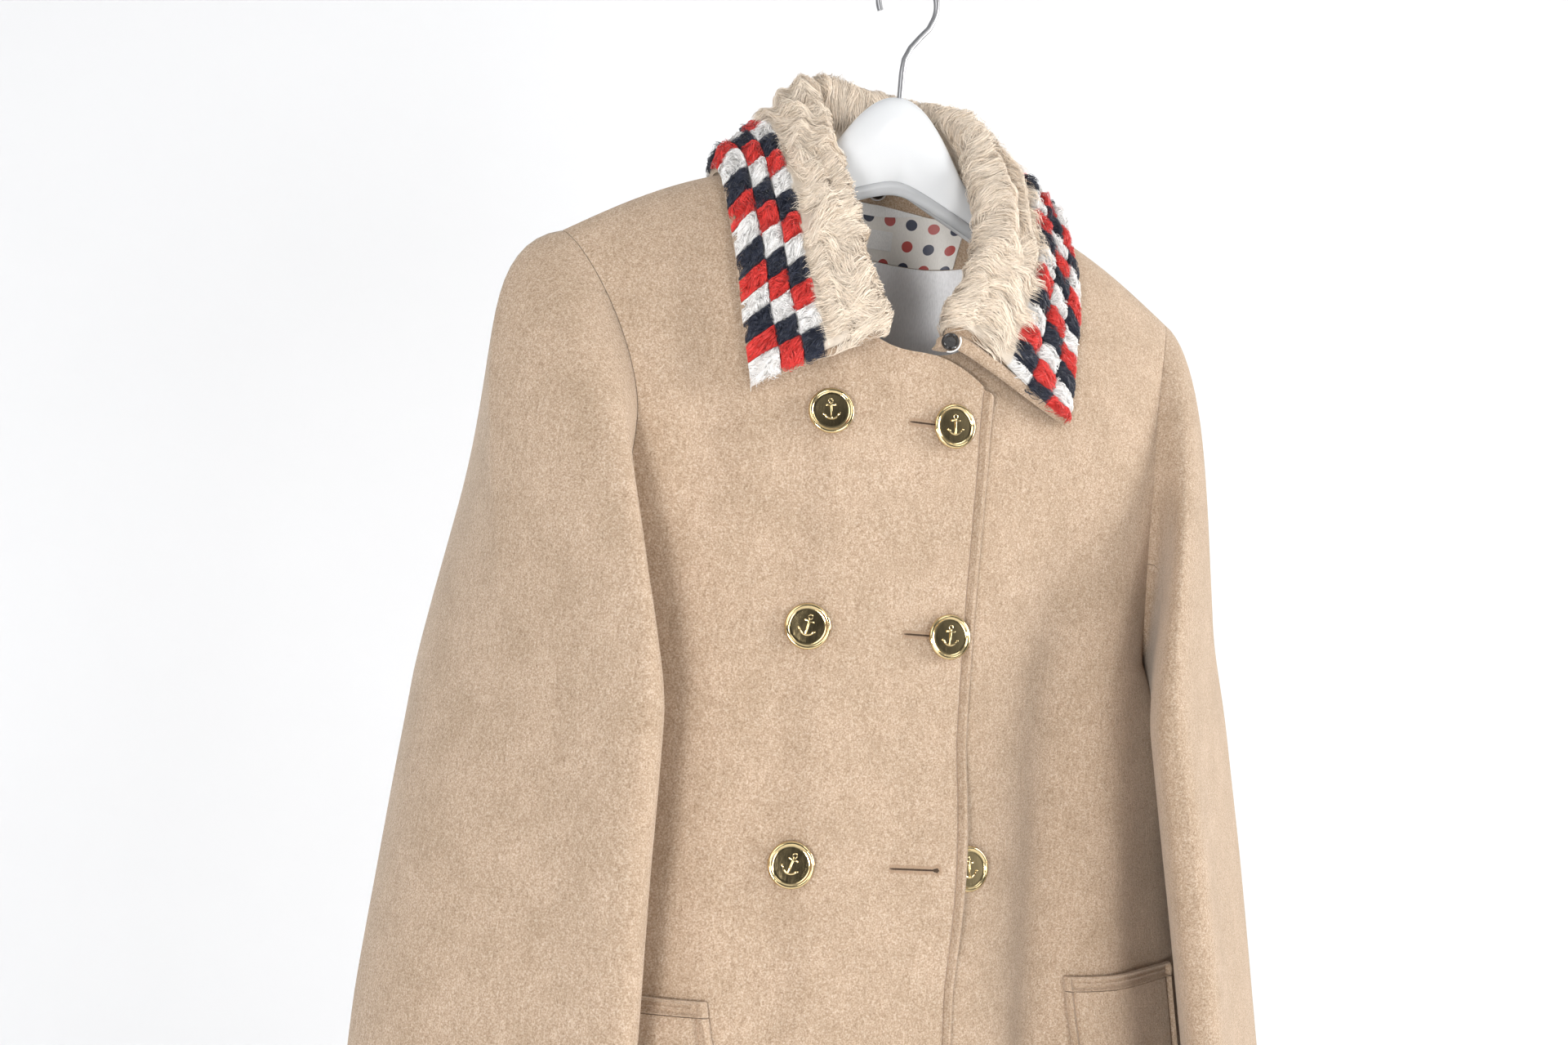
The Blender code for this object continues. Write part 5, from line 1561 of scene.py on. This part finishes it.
class COAT_OT_fur(bpy.types.Operator):
    """Make the fur collar and its patchwork border, pelt first and then hair."""

    bl_idname = "coat.fur"
    bl_label = "Fur"

    def execute(self, context):
        settings = context.scene.coat_fur
        skin = pelt()
        ground = HairStyle(settings.length, settings.tuft, settings.hairs, 80.0, 16.0, 0.0017, 0.45, 0.0)
        size = settings.patch
        growth = (settings.curl_length, size / 3.0, settings.curl_hairs)
        curls = HairStyle(*growth, 40.0, 34.0, 0.0016, 0.50, size)
        inner = (0.0, skin.patch_start - settings.length * 0.45)
        outer = (skin.patch_start, skin.out_run[-1] + FUR_OVERHANG)
        self.pelt_and_hair("fur_collar", (0, skin.parting), inner, "cream_fur", ground)
        self.pelt_and_hair("fur_border", (skin.parting, -1), outer, "border_fur", curls)
        return {"FINISHED"}

    def pelt_and_hair(self, node, columns, reach, slot, style):
        settings = bpy.context.scene.coat_fur
        finish = shared_finish("fur")
        skin = pelt()
        first, last = (column % len(skin.shares) for column in columns)
        draws = np.random.default_rng(40 + (first > 0))
        seam = "left" if first else "right"
        skins = [trimmed(layer, seam, gap=FUR_SEAM_GAP) for layer in skin.pad(first, last, style.patch)]
        mesh = wall_mesh(f"{node}_pelt", *skins)
        tree = grid_tree(skin.base)

        def colour_at(round_run, out_run):
            if style.patch:
                return patch_colours(round_run, out_run, settings)
            return np.tile(np.array(settings.cream), (*np.shape(round_run), 1))

        def pad_colour(spot):
            row, column = divmod(tree.find_nearest(spot)[2], skin.base.shape[1] - 1)
            return colour_at(skin.round_run[row], skin.out_run[column])

        # The pelt's skin gets its dye darkened as painted shade under the hair
        dye_and_shade_pad(mesh, pad_colour)
        pad = add_piece(f"{node}_pelt", mesh, finish, [node])
        middle = skin.round_run[-1] / 2.0
        for part, near, end in (("right", -FUR_OVERHANG, middle), ("left", middle, 2.0 * middle)):
            centres = tuft_centres(near, end, *reach, style.tuft, draws)
            mesh = hair_mesh(f"{node}_hair_{part}", centres, colour_at, style, settings.width, draws)
            add_piece(f"{node}_hair_{part}", mesh, finish, sharp=None)
        declare_cloth(pad, skins[1])


# Inside the back neck


def inside_span(top_share, foot_share, half_columns):
    """Rows and columns of the back's skin that a lining piece covers, from its shares of the way down."""
    outer, normals = back_skin()
    shares = np.array(TOP_SHARES)
    first = int(np.argmin(np.abs(shares - top_share)))
    last = int(np.argmin(np.abs(shares - foot_share))) if foot_share <= 1.0 else len(outer) - 4
    centre = outer.shape[1] // 2
    area = (slice(first, last + 1), slice(centre - half_columns, centre + half_columns + 1))
    return outer[area], normals[area]


def lining_skins(top_share, foot_share, half_columns):
    outer, normals = inside_span(top_share, foot_share, half_columns)
    near = outer - normals * (CLOTH + LAYER_GAP)
    return near, near - normals * LINING, -normals


def strip_grid(left, right, middle_height, sag, height, columns, rows=4):
    """A level strip in front of the back neck, upper edge first, sagging between its ends."""
    shares = np.linspace(0.0, 1.0, columns)
    grid = []
    for edge in np.linspace(0.5, -0.5, rows):
        x = left + (right - left) * shares
        z = middle_height + edge * height - sag * np.sin(math.pi * shares)
        grid.append(np.stack((x, np.full(columns, NECK_BACK_DEPTH), z), axis=1))
    return np.array(grid)


class COAT_OT_inside(bpy.types.Operator):
    """Make the facing, the lining, the label and the hanging loop inside the back neck."""

    bl_idname = "coat.inside"
    bl_label = "Inside back neck"

    def execute(self, context):
        settings = context.scene.coat_lining
        plain = satin_finish(settings.plain)
        pieces = (
            ("back_neck_facing", 0.0, FACING_SHARE, 14, shared_finish("wool"), "camel_wool"),
            ("lining_yoke", FACING_SHARE, YOKE_SHARE, 14, dotted_finish(settings), "patterned_lining"),
            ("lining_back", YOKE_SHARE, 2.0, 30, plain, "plain_lining"),
        )
        for name, top, foot, half_columns, finish, slot in pieces:
            near, far, facing = lining_skins(top, foot, half_columns)
            skins = [trimmed(skin, "top", "bottom") for skin in (near, far)]
            mesh = wall_mesh(name, *skins, with_uv=True)
            piece = add_piece(f"{name}_cloth", mesh, finish, [name])
            soften_edges(piece, LINING_EDGE)
            if name == "lining_yoke":
                yoke, yoke_skin, tree = piece, near, skin_tree(far, facing)
            else:
                declare_cloth(piece, near)
        tape = shared_finish("tape")
        strips = (
            ("hang_loop", strip_grid(-0.030, 0.044, 0.0575, 0.006, 0.007, 33), LINING),
            ("label", strip_grid(-0.016, 0.024, 0.034, 0.0, 0.012, 21), LINING / 2.0),
        )
        sewn_on = []
        for name, flat, thickness in strips:
            near, facing = lie_on(tree, flat, TRIM_LIFT)
            mesh = wall_mesh(name, near, near + facing * thickness, with_uv=True)
            sewn_on.append(add_piece(f"{name}_tape", mesh, tape, [name]))
            soften_edges(sewn_on[-1], TAPE_EDGE)
        declare_cloth(yoke, yoke_skin)
        return {"FINISHED"}


# Pockets


def pocket_grid(pocket, top, height, columns, rows):
    """Points of a flap or welt on the front's smooth surface, its upper edge first."""
    grid = []
    for down in rows * height:
        z = top - down
        start = along_at_x("front", pocket.side, z, pocket.inner_x) + pocket.lean * (pocket.top - z)
        places = SIDE_SIGN[pocket.side] * (start + columns * FLAP_WIDTH)
        grid.append([section_point("front", place, z) for place in places])
    return np.array(grid)


def edge_shares(length, edge=0.010):
    """Shares of a length, set close together near both ends so that stitching shows there."""
    near = np.linspace(0.0, edge, 9) / length
    middle = np.linspace(edge / length, 1.0 - edge / length, 20)[1:-1]
    return np.concatenate((near, middle, 1.0 - near[::-1]))


class COAT_OT_pockets(bpy.types.Operator):
    """Make the pocket welts and their flaps, with topstitching round the flaps."""

    bl_idname = "coat.pockets"
    bl_label = "Pockets"

    def execute(self, context):
        settings = context.scene.coat_wool
        runs = []
        for pocket in POCKETS:
            tree = front_tree(f"{pocket.side}_front")
            across = edge_shares(FLAP_WIDTH)
            flap_top = pocket.top - WELT_HEIGHT - SEAM_GAP
            pieces = (
                ("welt", pocket.top, WELT_HEIGHT, np.linspace(0.0, 1.0, 9)),
                ("flap", flap_top, FLAP_HEIGHT, edge_shares(FLAP_HEIGHT)),
            )
            for piece, top, height, down in pieces:
                flat = pocket_grid(pocket, top, height, across, down)
                near, facing = lie_on(tree, flat, FLAP_LIFT)
                sides = np.minimum(across, 1.0 - across) * FLAP_WIDTH
                if piece == "flap":
                    ends = (1.0 - down) * height
                else:
                    ends = np.minimum(down, 1.0 - down) * height + WELT_EDGE
                insets = np.minimum(sides[None, :], ends[:, None])
                relief = groove_profile(insets, settings.stitch_inset, settings.groove)
                if piece == "welt":
                    relief = relief + WELT_SWELL * np.sin(math.pi * down)[:, None]
                far = near + facing * (CLOTH + relief)[:, :, None]
                name = f"pocket_{piece}_{pocket.side}"
                made = wool_piece(name, wall_mesh(name, far, near))
                if piece == "welt":
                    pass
                else:
                    declare_cloth(made, near)
                    runs += self.stitch_lines(far, facing, insets, settings)
        stitch_piece("pocket_stitching", runs, settings)
        return {"FINISHED"}

    def stitch_lines(self, far, facing, insets, settings):
        """Lines down both sides and along the foot of a flap, a stitch inset from its edges."""
        column = int(np.argmin(np.abs(insets[len(insets) // 2, :20] - settings.stitch_inset)))
        row = far.shape[0] - 1 - column
        lines = []
        for side in (column, far.shape[1] - 1 - column):
            lines.append((far[: row + 1, side], facing[: row + 1, side]))
        span = slice(column, far.shape[1] - column)
        lines.append((far[row, span], facing[row, span]))
        return lines


def stitch_piece(name, runs, settings):
    """Topstitching along lines on the cloth, sunk a little in its groove."""
    sewn = [along_line(points, normals, settings.stitch_length * 1.25) for points, normals in runs]
    places, headings, facing = (np.concatenate(part) for part in zip(*sewn))
    places = places + facing * 0.00005
    mesh = stitched_mesh(name, places, headings, facing, settings.stitch_length, THREAD_WIDTH)
    return add_piece(name, mesh, shared_finish("thread"), sharp=None)


class COAT_OT_stitching(bpy.types.Operator):
    """Sew the topstitching down the front edge and the slits' worked edges."""

    bl_idname = "coat.stitching"
    bl_label = "Topstitching and buttonholes"

    def execute(self, context):
        settings = context.scene.coat_wool
        outer, normals, insets = front_skin("right_front")
        column = int(np.argmin(np.abs(insets - settings.stitch_inset)))
        sunk = outer[2:, column] - normals[2:, column] * settings.groove
        top = outer[2, column:20] - normals[2, column:20] * 0.0001
        stitch_piece("front_stitching", [(sunk, normals[2:, column]), (top, normals[2, column:20])], settings)
        self.buttonholes(context.scene.coat_fastenings)
        return {"FINISHED"}

    def buttonholes(self, settings):
        """Worked slits with a round eye at the end next to the front edge."""
        tree = front_tree("right_front")
        threads = []
        slits = bmesh.new()
        for row, end_x in zip(BUTTON_ROWS, BUTTONHOLE_ENDS):
            for x in np.arange(end_x - settings.hole_length, end_x - 0.001, HOLE_THREAD_PITCH):
                for side in (-1.0, 1.0):
                    threads.append((x, row.height + side * HOLE_HALF, Vector((0.12, 0.0, 1.0))))
            self.slit(slits, tree, end_x, row.height, settings.hole_length)
            for angle in np.radians(np.arange(-130.0, 131.0, 20.0)):
                heading = Vector((math.cos(angle), 0.0, math.sin(angle)))
                x = end_x + HOLE_EYE_OUT + HOLE_EYE * math.cos(angle)
                threads.append((x, row.height + HOLE_EYE * math.sin(angle), heading))
        places = []
        headings = []
        facing = []
        for x, z, heading in threads:
            spot, normal = met(tree, (x, -1.0, z))
            places.append(spot + normal * HOLE_THREAD_LIFT)
            headings.append(heading)
            facing.append(normal)
        facing = np.array(facing)
        headings = np.array(headings)
        headings = unit(headings - facing * np.sum(headings * facing, axis=1, keepdims=True))
        size = (HOLE_THREAD_LENGTH, HOLE_THREAD_WIDTH)
        mesh = stitched_mesh("buttonholes", np.array(places), headings, facing, *size)
        add_piece("buttonhole_threads", mesh, shared_finish("thread"), sharp=None)
        # Painted shadow: a dark lens on the cloth where each slit's cut lies in shade
        look = Finish("slit_shadow", 0.95)
        fuzz = look.grain(1200.0)
        finish = look.finish(look.ramp(fuzz, (0.3, (0.030, 0.018, 0.010)), (0.7, (0.075, 0.045, 0.026))))
        add_piece("buttonhole_slit_shadows", mesh_from("slits", slits), finish, sharp=None)

    def slit(self, working, tree, end_x, height, length):
        """A thin dark lens along the slit, wider at its eye: painted shadow in the cut."""
        grown = bmesh.ops.create_grid(working, x_segments=24, y_segments=2, size=0.5)
        for vert in grown["verts"]:
            share = vert.co.x + 0.5
            x = end_x - length * (1.0 - share) + 0.0026 * share
            eye = 0.0010 * math.exp(-(((x - end_x - 0.0012) / 0.0013) ** 2))
            half = 0.00055 * math.sin(math.pi * min(share * 3.0 + 0.08, 0.5)) + eye
            ends = math.sqrt(max(1.0 - max(share - 0.93, 0.0) ** 2 / 0.0049, 0.0))
            z = height + vert.co.y * 2.0 * half * ends
            spot, normal = met(tree, (x, -1.0, z))
            vert.co = spot + normal * (0.00016 + 0.0001 * (1.0 - abs(vert.co.y) * 2.0))


# Buttons


def bar(working, size, centre, turn=0.0):
    """A small bevelled bar laid on the button's field."""
    made = bmesh.ops.create_cube(working, size=1.0)
    place = Matrix.Translation(centre) @ Matrix.Rotation(turn, 4, "Z") @ Matrix.Diagonal((*size, 1.0))
    bmesh.ops.transform(working, matrix=place, verts=made["verts"])
    edges = {edge for vert in made["verts"] for edge in vert.link_edges}
    bevel = {"affect": "EDGES", "offset_type": "OFFSET", "segments": 2, "profile": 0.5, "material": -1}
    bmesh.ops.bevel(working, geom=list(edges), offset=min(size) * 0.28, **bevel)


def bent_bar(working, radius, thickness, centre, start, sweep, steps):
    """A round bar bent along an arc on the button's field."""
    before = set(working.verts)
    open_ended = sweep < 2.0 * math.pi - 0.01
    ring = bmesh.ops.create_circle(working, cap_ends=open_ended, segments=8, radius=thickness)
    stand = Matrix.Translation((radius, 0.0, 0.0)) @ Matrix.Rotation(math.pi / 2.0, 4, "X")
    place = Matrix.Rotation(start, 4, "Z") @ stand
    bmesh.ops.transform(working, matrix=place, verts=ring["verts"])
    edges = {edge for vert in ring["verts"] for edge in vert.link_edges}
    faces = {face for vert in ring["verts"] for face in vert.link_faces}
    geometry = list(ring["verts"]) + list(edges) + list(faces)
    spin_about_z(working, geometry, sweep, steps, not faces)
    moved = [vert for vert in working.verts if vert not in before]
    bmesh.ops.translate(working, vec=centre, verts=moved)


def anchor_mesh(settings, level):
    """A plain upright anchor: ring, stock, shank, arms and flukes, raised on the button's field."""
    size = settings.radius / 0.0125
    working = bmesh.new()
    height = settings.relief * 2.0
    bent_bar(working, 0.0012 * size, 0.00036 * size, (0.0, 0.0053 * size, level), 0.0, 2.0 * math.pi, 18)
    arms = (math.radians(205.0), math.radians(130.0))
    bent_bar(working, 0.0044 * size, 0.00058 * size, (0.0, -0.0002 * size, level), *arms, 18)
    bar(working, (0.0011 * size, 0.0088 * size, height), (0.0, -0.0002 * size, level))
    bar(working, (0.0056 * size, 0.0010 * size, height), (0.0, 0.0030 * size, level))
    for side in (-1.0, 1.0):
        angle = math.radians(-90.0 + side * 64.0)
        tip = (0.0045 * size * math.cos(angle), -0.0002 * size + 0.0045 * size * math.sin(angle), level)
        bar(working, (0.0021 * size, 0.0009 * size, height), tip, side * math.radians(40.0))
    return mesh_from("anchor", working)


class COAT_OT_buttons(bpy.types.Operator):
    """Make the brass buttons, each with a raised rim and a plain anchor."""

    bl_idname = "coat.buttons"
    bl_label = "Brass buttons"

    def execute(self, context):
        settings = context.scene.coat_fastenings
        brass = shared_finish("brass")
        rim = settings.radius
        top = settings.height
        shank = [(0.0, 0.0), (0.0030, 0.0), (0.0032, 0.0004), (0.0030, top - 0.0036)]
        face = [(rim * 0.40, top - 0.0006), (0.0, top - 0.0005)]
        profile = shank + [(rim - inset, top - drop) for inset, drop in BUTTON_RIM] + face
        for index, row in enumerate(BUTTON_ROWS, 1):
            columns = (
                ("right", row.right_x, "right_front", row.right_turn),
                ("left", row.left_x, row.left_carrier, row.left_turn),
            )
            for side, x, carrier, turn in columns:
                name = f"button_{side}_{index}"
                disc = mesh_from(name, spun(profile, 72))
                motif = anchor_mesh(settings, top - 0.0008)
                working = bmesh.new()
                working.from_mesh(disc)
                working.from_mesh(motif)
                place = seat_matrix(front_tree(carrier), (x, -1.0, row.height), turn)
                bmesh.ops.transform(working, matrix=place, verts=working.verts[:])
                working.to_mesh(disc)
                working.free()
                bpy.data.meshes.remove(motif)
                add_piece(f"{name}_brass", disc, brass, [name], 40.0)
        return {"FINISHED"}


class COAT_OT_collar_buttons(bpy.types.Operator):
    """Make the small collar buttons and the cord loops that go round them."""

    bl_idname = "coat.collar_buttons"
    bl_label = "Collar buttons"

    def execute(self, context):
        settings = context.scene.coat_fastenings
        near, far, facing = lining_skins(0.0, FACING_SHARE, 14)
        back = seat_matrix(skin_tree(far, facing), BACK_BUTTON_SPOT)
        collar = bpy.data.objects["under_collar_wool"]
        tree = BVHTree.FromObject(collar, context.evaluated_depsgraph_get())
        start = Vector(FRONT_BUTTON_SPOT) - Vector((0.0, 0.0, HANG_RISE))
        front = seat_matrix(tree, start)
        front = Matrix.Translation((0.0, 0.0, HANG_RISE)) @ front
        for name, place, arc in (("back", back, (-170.0, 10.0)), ("front", front, (-100.0, 30.0))):
            self.button(f"collar_button_{name}", place, settings)
            self.loop(f"collar_loop_{name}", place, arc, settings)
        return {"FINISHED"}

    def button(self, name, place, settings):
        rim = settings.small_radius
        top = settings.small_height
        profile = (
            (0.0, 0.0),
            (rim - 0.0014, 0.0),
            (rim - 0.0004, 0.0004),
            (rim, 0.0011),
            (rim - 0.0002, top - 0.0004),
            (rim - 0.0008, top),
            (rim - 0.0014, top - 0.0002),
            (rim - 0.0020, top - 0.0008),
            (0.0, top - 0.0009),
        )
        working = spun(profile, 40)
        for side in (-1.0, 1.0):
            bar(working, (0.0007, 0.0024, 0.0004), (side * 0.0007, 0.0, top - 0.0008))
        bmesh.ops.transform(working, matrix=place, verts=working.verts[:])
        mesh = mesh_from(name, working)
        add_piece(f"{name}_dark", mesh, shared_finish("dark"), [name], 40.0)

    def loop(self, name, place, arc, settings):
        """A cord loop caught under the button's rim, in the button's own plane."""
        radius = settings.small_radius + settings.cord + BUTTON_GAP
        points = []
        for angle in np.radians(np.linspace(*arc, 37)):
            spot = Vector((radius * math.cos(angle), radius * math.sin(angle), settings.cord + BUTTON_GAP))
            points.append(place @ spot)
        mesh = tube_mesh(name, points, settings.cord, 3)
        add_piece(f"{name}_cord", mesh, shared_finish("tape"), [name])


# Hanger


def hanger_top(x):
    """Upper edge of the hanger: a dome at the neck that runs out along the inside of the shoulders."""
    dome = DOME_TOP - DOME_FALL * x * x
    share = (abs(x) - NECK_HALF) / (SHOULDER_HALF - NECK_HALF)
    if share > 0.0:
        arm = shoulder_point(share)[2] - HANGER_CLEARANCE
    else:
        arm = NECK_SIDE_HEIGHT - share * (SHOULDER_HALF - NECK_HALF) * ARM_FALL - HANGER_CLEARANCE
    softness = 0.006 * (1.0 - smooth_step(abs(x), 0.040, NECK_HALF))
    if softness < 1e-6:
        return arm
    return max(dome, arm) + softness * math.log1p(math.exp(-abs(dome - arm) / softness))


def oval_ring(turns, x, y, z, half_depth, half_height):
    """An upright oval of points across the hanger."""
    return [(x, y + half_depth * math.sin(turn), z + half_height * math.cos(turn)) for turn in turns]


def lofted_mesh(name, rings):
    """A solid through closed rings of points, with flat ends."""
    working = bmesh.new()
    loops = [[working.verts.new(point) for point in ring] for ring in rings]
    for first, second in zip(loops, loops[1:]):
        for index in range(len(first)):
            after = (index + 1) % len(first)
            working.faces.new((first[index], first[after], second[after], second[index]))
    working.faces.new(loops[0])
    working.faces.new(loops[-1])
    return mesh_from(name, working)


class COAT_OT_hanger(bpy.types.Operator):
    """Make the hanger's dome and arms, its rolled lower lip and its wire hook."""

    bl_idname = "coat.hanger"
    bl_label = "Hanger"

    def execute(self, context):
        settings = context.scene.coat_hanger
        crown = DOME_TOP - hanger_top(0.0)
        turns = np.linspace(0.0, 2.0 * math.pi, 32, endpoint=False)
        rings = []
        for x in np.linspace(-ARM_END, ARM_END, 105):
            high = hanger_top(x) + crown * (1.0 - smooth_step(abs(x), 0.0, 0.040))
            low = DOME_LOW - ARM_FALL * abs(x)
            depth = ARM_DEPTH + (DOME_DEPTH - ARM_DEPTH) * (1.0 - smooth_step(abs(x), 0.0, 0.06))
            rings.append(oval_ring(turns, x, 0.0, (high + low) / 2.0, depth / 2.0, (high - low) / 2.0))
        milky = plastic_finish("white_plastic", settings.plastic, 0.12)
        add_piece("hanger_dome", lofted_mesh("hanger", rings), milky, ["hanger_body"])
        lip = []
        for x in np.linspace(-LIP_HALF, LIP_HALF, 61):
            middle = DOME_LOW - ARM_FALL * math.hypot(x, 0.012) + settings.lip
            lip.append(oval_ring(turns[::2], x, -LIP_FORWARD, middle, LIP_DEPTH, settings.lip))
        clear = plastic_finish("clear_lip", settings.plastic, 0.55)
        add_piece("hanger_lip", lofted_mesh("lip", lip), clear)
        shank = [(0.0, 0.0, DOME_TOP - 0.004)] + [(x, 0.0, z) for x, z in HOOK_SHANK]
        turn = []
        for angle in np.radians(np.arange(-25.0, HOOK_END_DEGREES + 0.1, 4.6)):
            turn.append((HOOK_RADIUS * math.cos(angle), 0.0, HOOK_CENTRE + HOOK_RADIUS * math.sin(angle)))
        wire = tube_mesh("hook", shank + turn, WIRE_RADIUS, 4)
        add_piece("hanger_wire", wire, wire_finish(settings.steel), ["hanger_hook"])
        return {"FINISHED"}


# Stage

CAMERA_PLACE = (-0.4170, -0.9310, -0.1806 - HANG_RISE)
CAMERA_YAW = 21.4985
CAMERA_PITCH = 1.9133
CAMERA_ROLL = 4.8884
CAMERA_SENSOR = 36.0
CAMERA_LENS = 2133.0 / 1920.0 * CAMERA_SENSOR
ROOM_HALF = 6.0
ROOM_FRONT = 5.0
ROOM_HEIGHT = 6.0
ROOM_CORNER = 0.6


def camera_matrix():
    """The camera's place, looking along its yaw and pitch and rolled about its line of sight."""
    yaw, pitch, roll = (math.radians(angle) for angle in (CAMERA_YAW, CAMERA_PITCH, CAMERA_ROLL))
    level = Vector((math.sin(yaw), math.cos(yaw), 0.0))
    right = Vector((math.cos(yaw), -math.sin(yaw), 0.0))
    above = Vector((0.0, 0.0, 1.0))
    ahead = level * math.cos(pitch) + above * math.sin(pitch)
    upright = above * math.cos(pitch) - level * math.sin(pitch)
    across = right * math.cos(roll) + upright * math.sin(roll)
    upward = upright * math.cos(roll) - right * math.sin(roll)
    turned = Matrix((across, upward, -ahead)).transposed().to_4x4()
    return Matrix.Translation(CAMERA_PLACE) @ turned


def add_light(name, place, target, size, power, colour=(1.0, 1.0, 1.0)):
    light = bpy.data.lights.new(name, "AREA")
    light.shape = "DISK"
    light.size = size
    light.energy = power
    light.color = colour
    obj = bpy.data.objects.new(name, light)
    bpy.context.scene.collection.objects.link(obj)
    obj.location = place
    obj.rotation_euler = (Vector(target) - Vector(place)).to_track_quat("-Z", "Y").to_euler()


def room_world(strength):
    """Even light from the bright side of a room, with its dim side behind the camera."""
    world = bpy.data.worlds.new("room_light")
    world.use_nodes = True
    tree = world.node_tree
    split = tree.nodes.new("ShaderNodeSeparateXYZ")
    tree.links.new(tree.nodes.new("ShaderNodeTexCoord").outputs["Generated"], split.inputs["Vector"])
    fade = tree.nodes.new("ShaderNodeMapRange")
    ends = {"From Min": -0.96, "From Max": -0.55, "To Min": 0.10 * strength, "To Max": strength}
    for socket, value in ends.items():
        fade.inputs[socket].default_value = value
    tree.links.new(split.outputs["Y"], fade.inputs["Value"])
    background = tree.nodes["Background"]
    background.inputs["Color"].default_value = (0.95, 0.97, 1.0, 1.0)
    tree.links.new(fade.outputs["Result"], background.inputs["Strength"])
    return world


class COAT_OT_stage(bpy.types.Operator):
    """Make the pale floor and wall, the soft lights and the camera."""

    bl_idname = "coat.stage"
    bl_label = "Stage"

    def execute(self, context):
        settings = context.scene.coat_stage
        working = bmesh.new()
        floor = -settings.floor_drop
        back = settings.wall_distance
        line = [(-ROOM_FRONT, floor), (back, floor), (back, floor + ROOM_HEIGHT)]
        verts = [working.verts.new((-ROOM_HALF, *point)) for point in line]
        edges = [working.edges.new(pair) for pair in zip(verts, verts[1:])]
        swept = bmesh.ops.extrude_edge_only(working, edges=edges)["geom"]
        moved = [part for part in swept if isinstance(part, bmesh.types.BMVert)]
        bmesh.ops.translate(working, vec=(2.0 * ROOM_HALF, 0.0, 0.0), verts=moved)
        corner = [edge for edge in working.edges if len(edge.link_faces) == 2]
        bevel = {"affect": "EDGES", "segments": 16, "profile": 0.5, "material": -1}
        bmesh.ops.bevel(working, geom=corner, offset=ROOM_CORNER, **bevel)
        mesh = mesh_from("room", working)
        mesh.materials.append(wall_finish(settings.floor))
        mesh.shade_smooth()
        room = bpy.data.objects.new("pale_room", mesh)
        context.scene.collection.objects.link(room)
        middle = (0.0, 0.0, -0.45)
        add_light("key", (0.70, -2.2, 1.05), middle, 0.9, settings.key)
        add_light("fill", (-1.6, -1.7, 0.40), middle, 1.4, settings.fill)
        add_light("centre", (0.15, -1.95, -0.52), middle, 0.7, settings.centre)
        add_light("front", (-1.22, -1.76, -0.69), middle, 0.4, settings.front)
        add_light("side", (2.3, -0.9, 0.2), middle, 1.4, settings.side, (1.0, 0.985, 0.96))
        add_light("wall", (0.6, -0.1, 1.6), (0.4, back, 0.0), 2.2, settings.wall_light)
        context.scene.world = room_world(settings.sky)
        context.scene.view_settings.view_transform = "Standard"
        camera = bpy.data.cameras.new("camera")
        camera.sensor_width = CAMERA_SENSOR
        camera.sensor_fit = "HORIZONTAL"
        camera.lens = CAMERA_LENS
        camera.clip_end = 50.0
        eye = bpy.data.objects.new("camera", camera)
        context.scene.collection.objects.link(eye)
        eye.matrix_world = camera_matrix()
        context.scene.camera = eye
        return {"FINISHED"}


class COAT_PT_panel(bpy.types.Panel):
    """Lists the coat's pieces and settings."""

    bl_idname = "COAT_PT_panel"
    bl_label = "Coat"
    bl_space_type = "VIEW_3D"
    bl_region_type = "UI"
    bl_category = "Coat"

    def draw(self, context):
        layout = self.layout
        for operator in OPERATORS:
            layout.operator(operator.bl_idname)
        for name, group in SETTINGS.items():
            box = layout.box()
            box.label(text=name.replace("_", " "))
            for setting in group.__annotations__:
                box.prop(getattr(context.scene, name), setting)


OPERATORS = (
    COAT_OT_body,
    COAT_OT_sleeves,
    COAT_OT_collar,
    COAT_OT_fur,
    COAT_OT_inside,
    COAT_OT_pockets,
    COAT_OT_stitching,
    COAT_OT_buttons,
    COAT_OT_collar_buttons,
    COAT_OT_hanger,
    COAT_OT_stage,
)


def register():
    for group in SETTINGS.values():
        bpy.utils.register_class(group)
    for name, group in SETTINGS.items():
        setattr(bpy.types.Scene, name, PointerProperty(type=group))
    for operator in OPERATORS:
        bpy.utils.register_class(operator)
    bpy.utils.register_class(COAT_PT_panel)


def unregister():
    bpy.utils.unregister_class(COAT_PT_panel)
    for operator in reversed(OPERATORS):
        bpy.utils.unregister_class(operator)
    for name, group in reversed(SETTINGS.items()):
        delattr(bpy.types.Scene, name)
        bpy.utils.unregister_class(group)


def main():
    register()
    bpy.ops.coat.body()
    bpy.ops.coat.sleeves()
    bpy.ops.coat.collar()
    bpy.ops.coat.fur()
    bpy.ops.coat.inside()
    bpy.ops.coat.pockets()
    bpy.ops.coat.stitching()
    bpy.ops.coat.buttons()
    bpy.ops.coat.collar_buttons()
    bpy.ops.coat.hanger()
    bpy.ops.coat.stage()


if __name__ == "__main__":
    main()
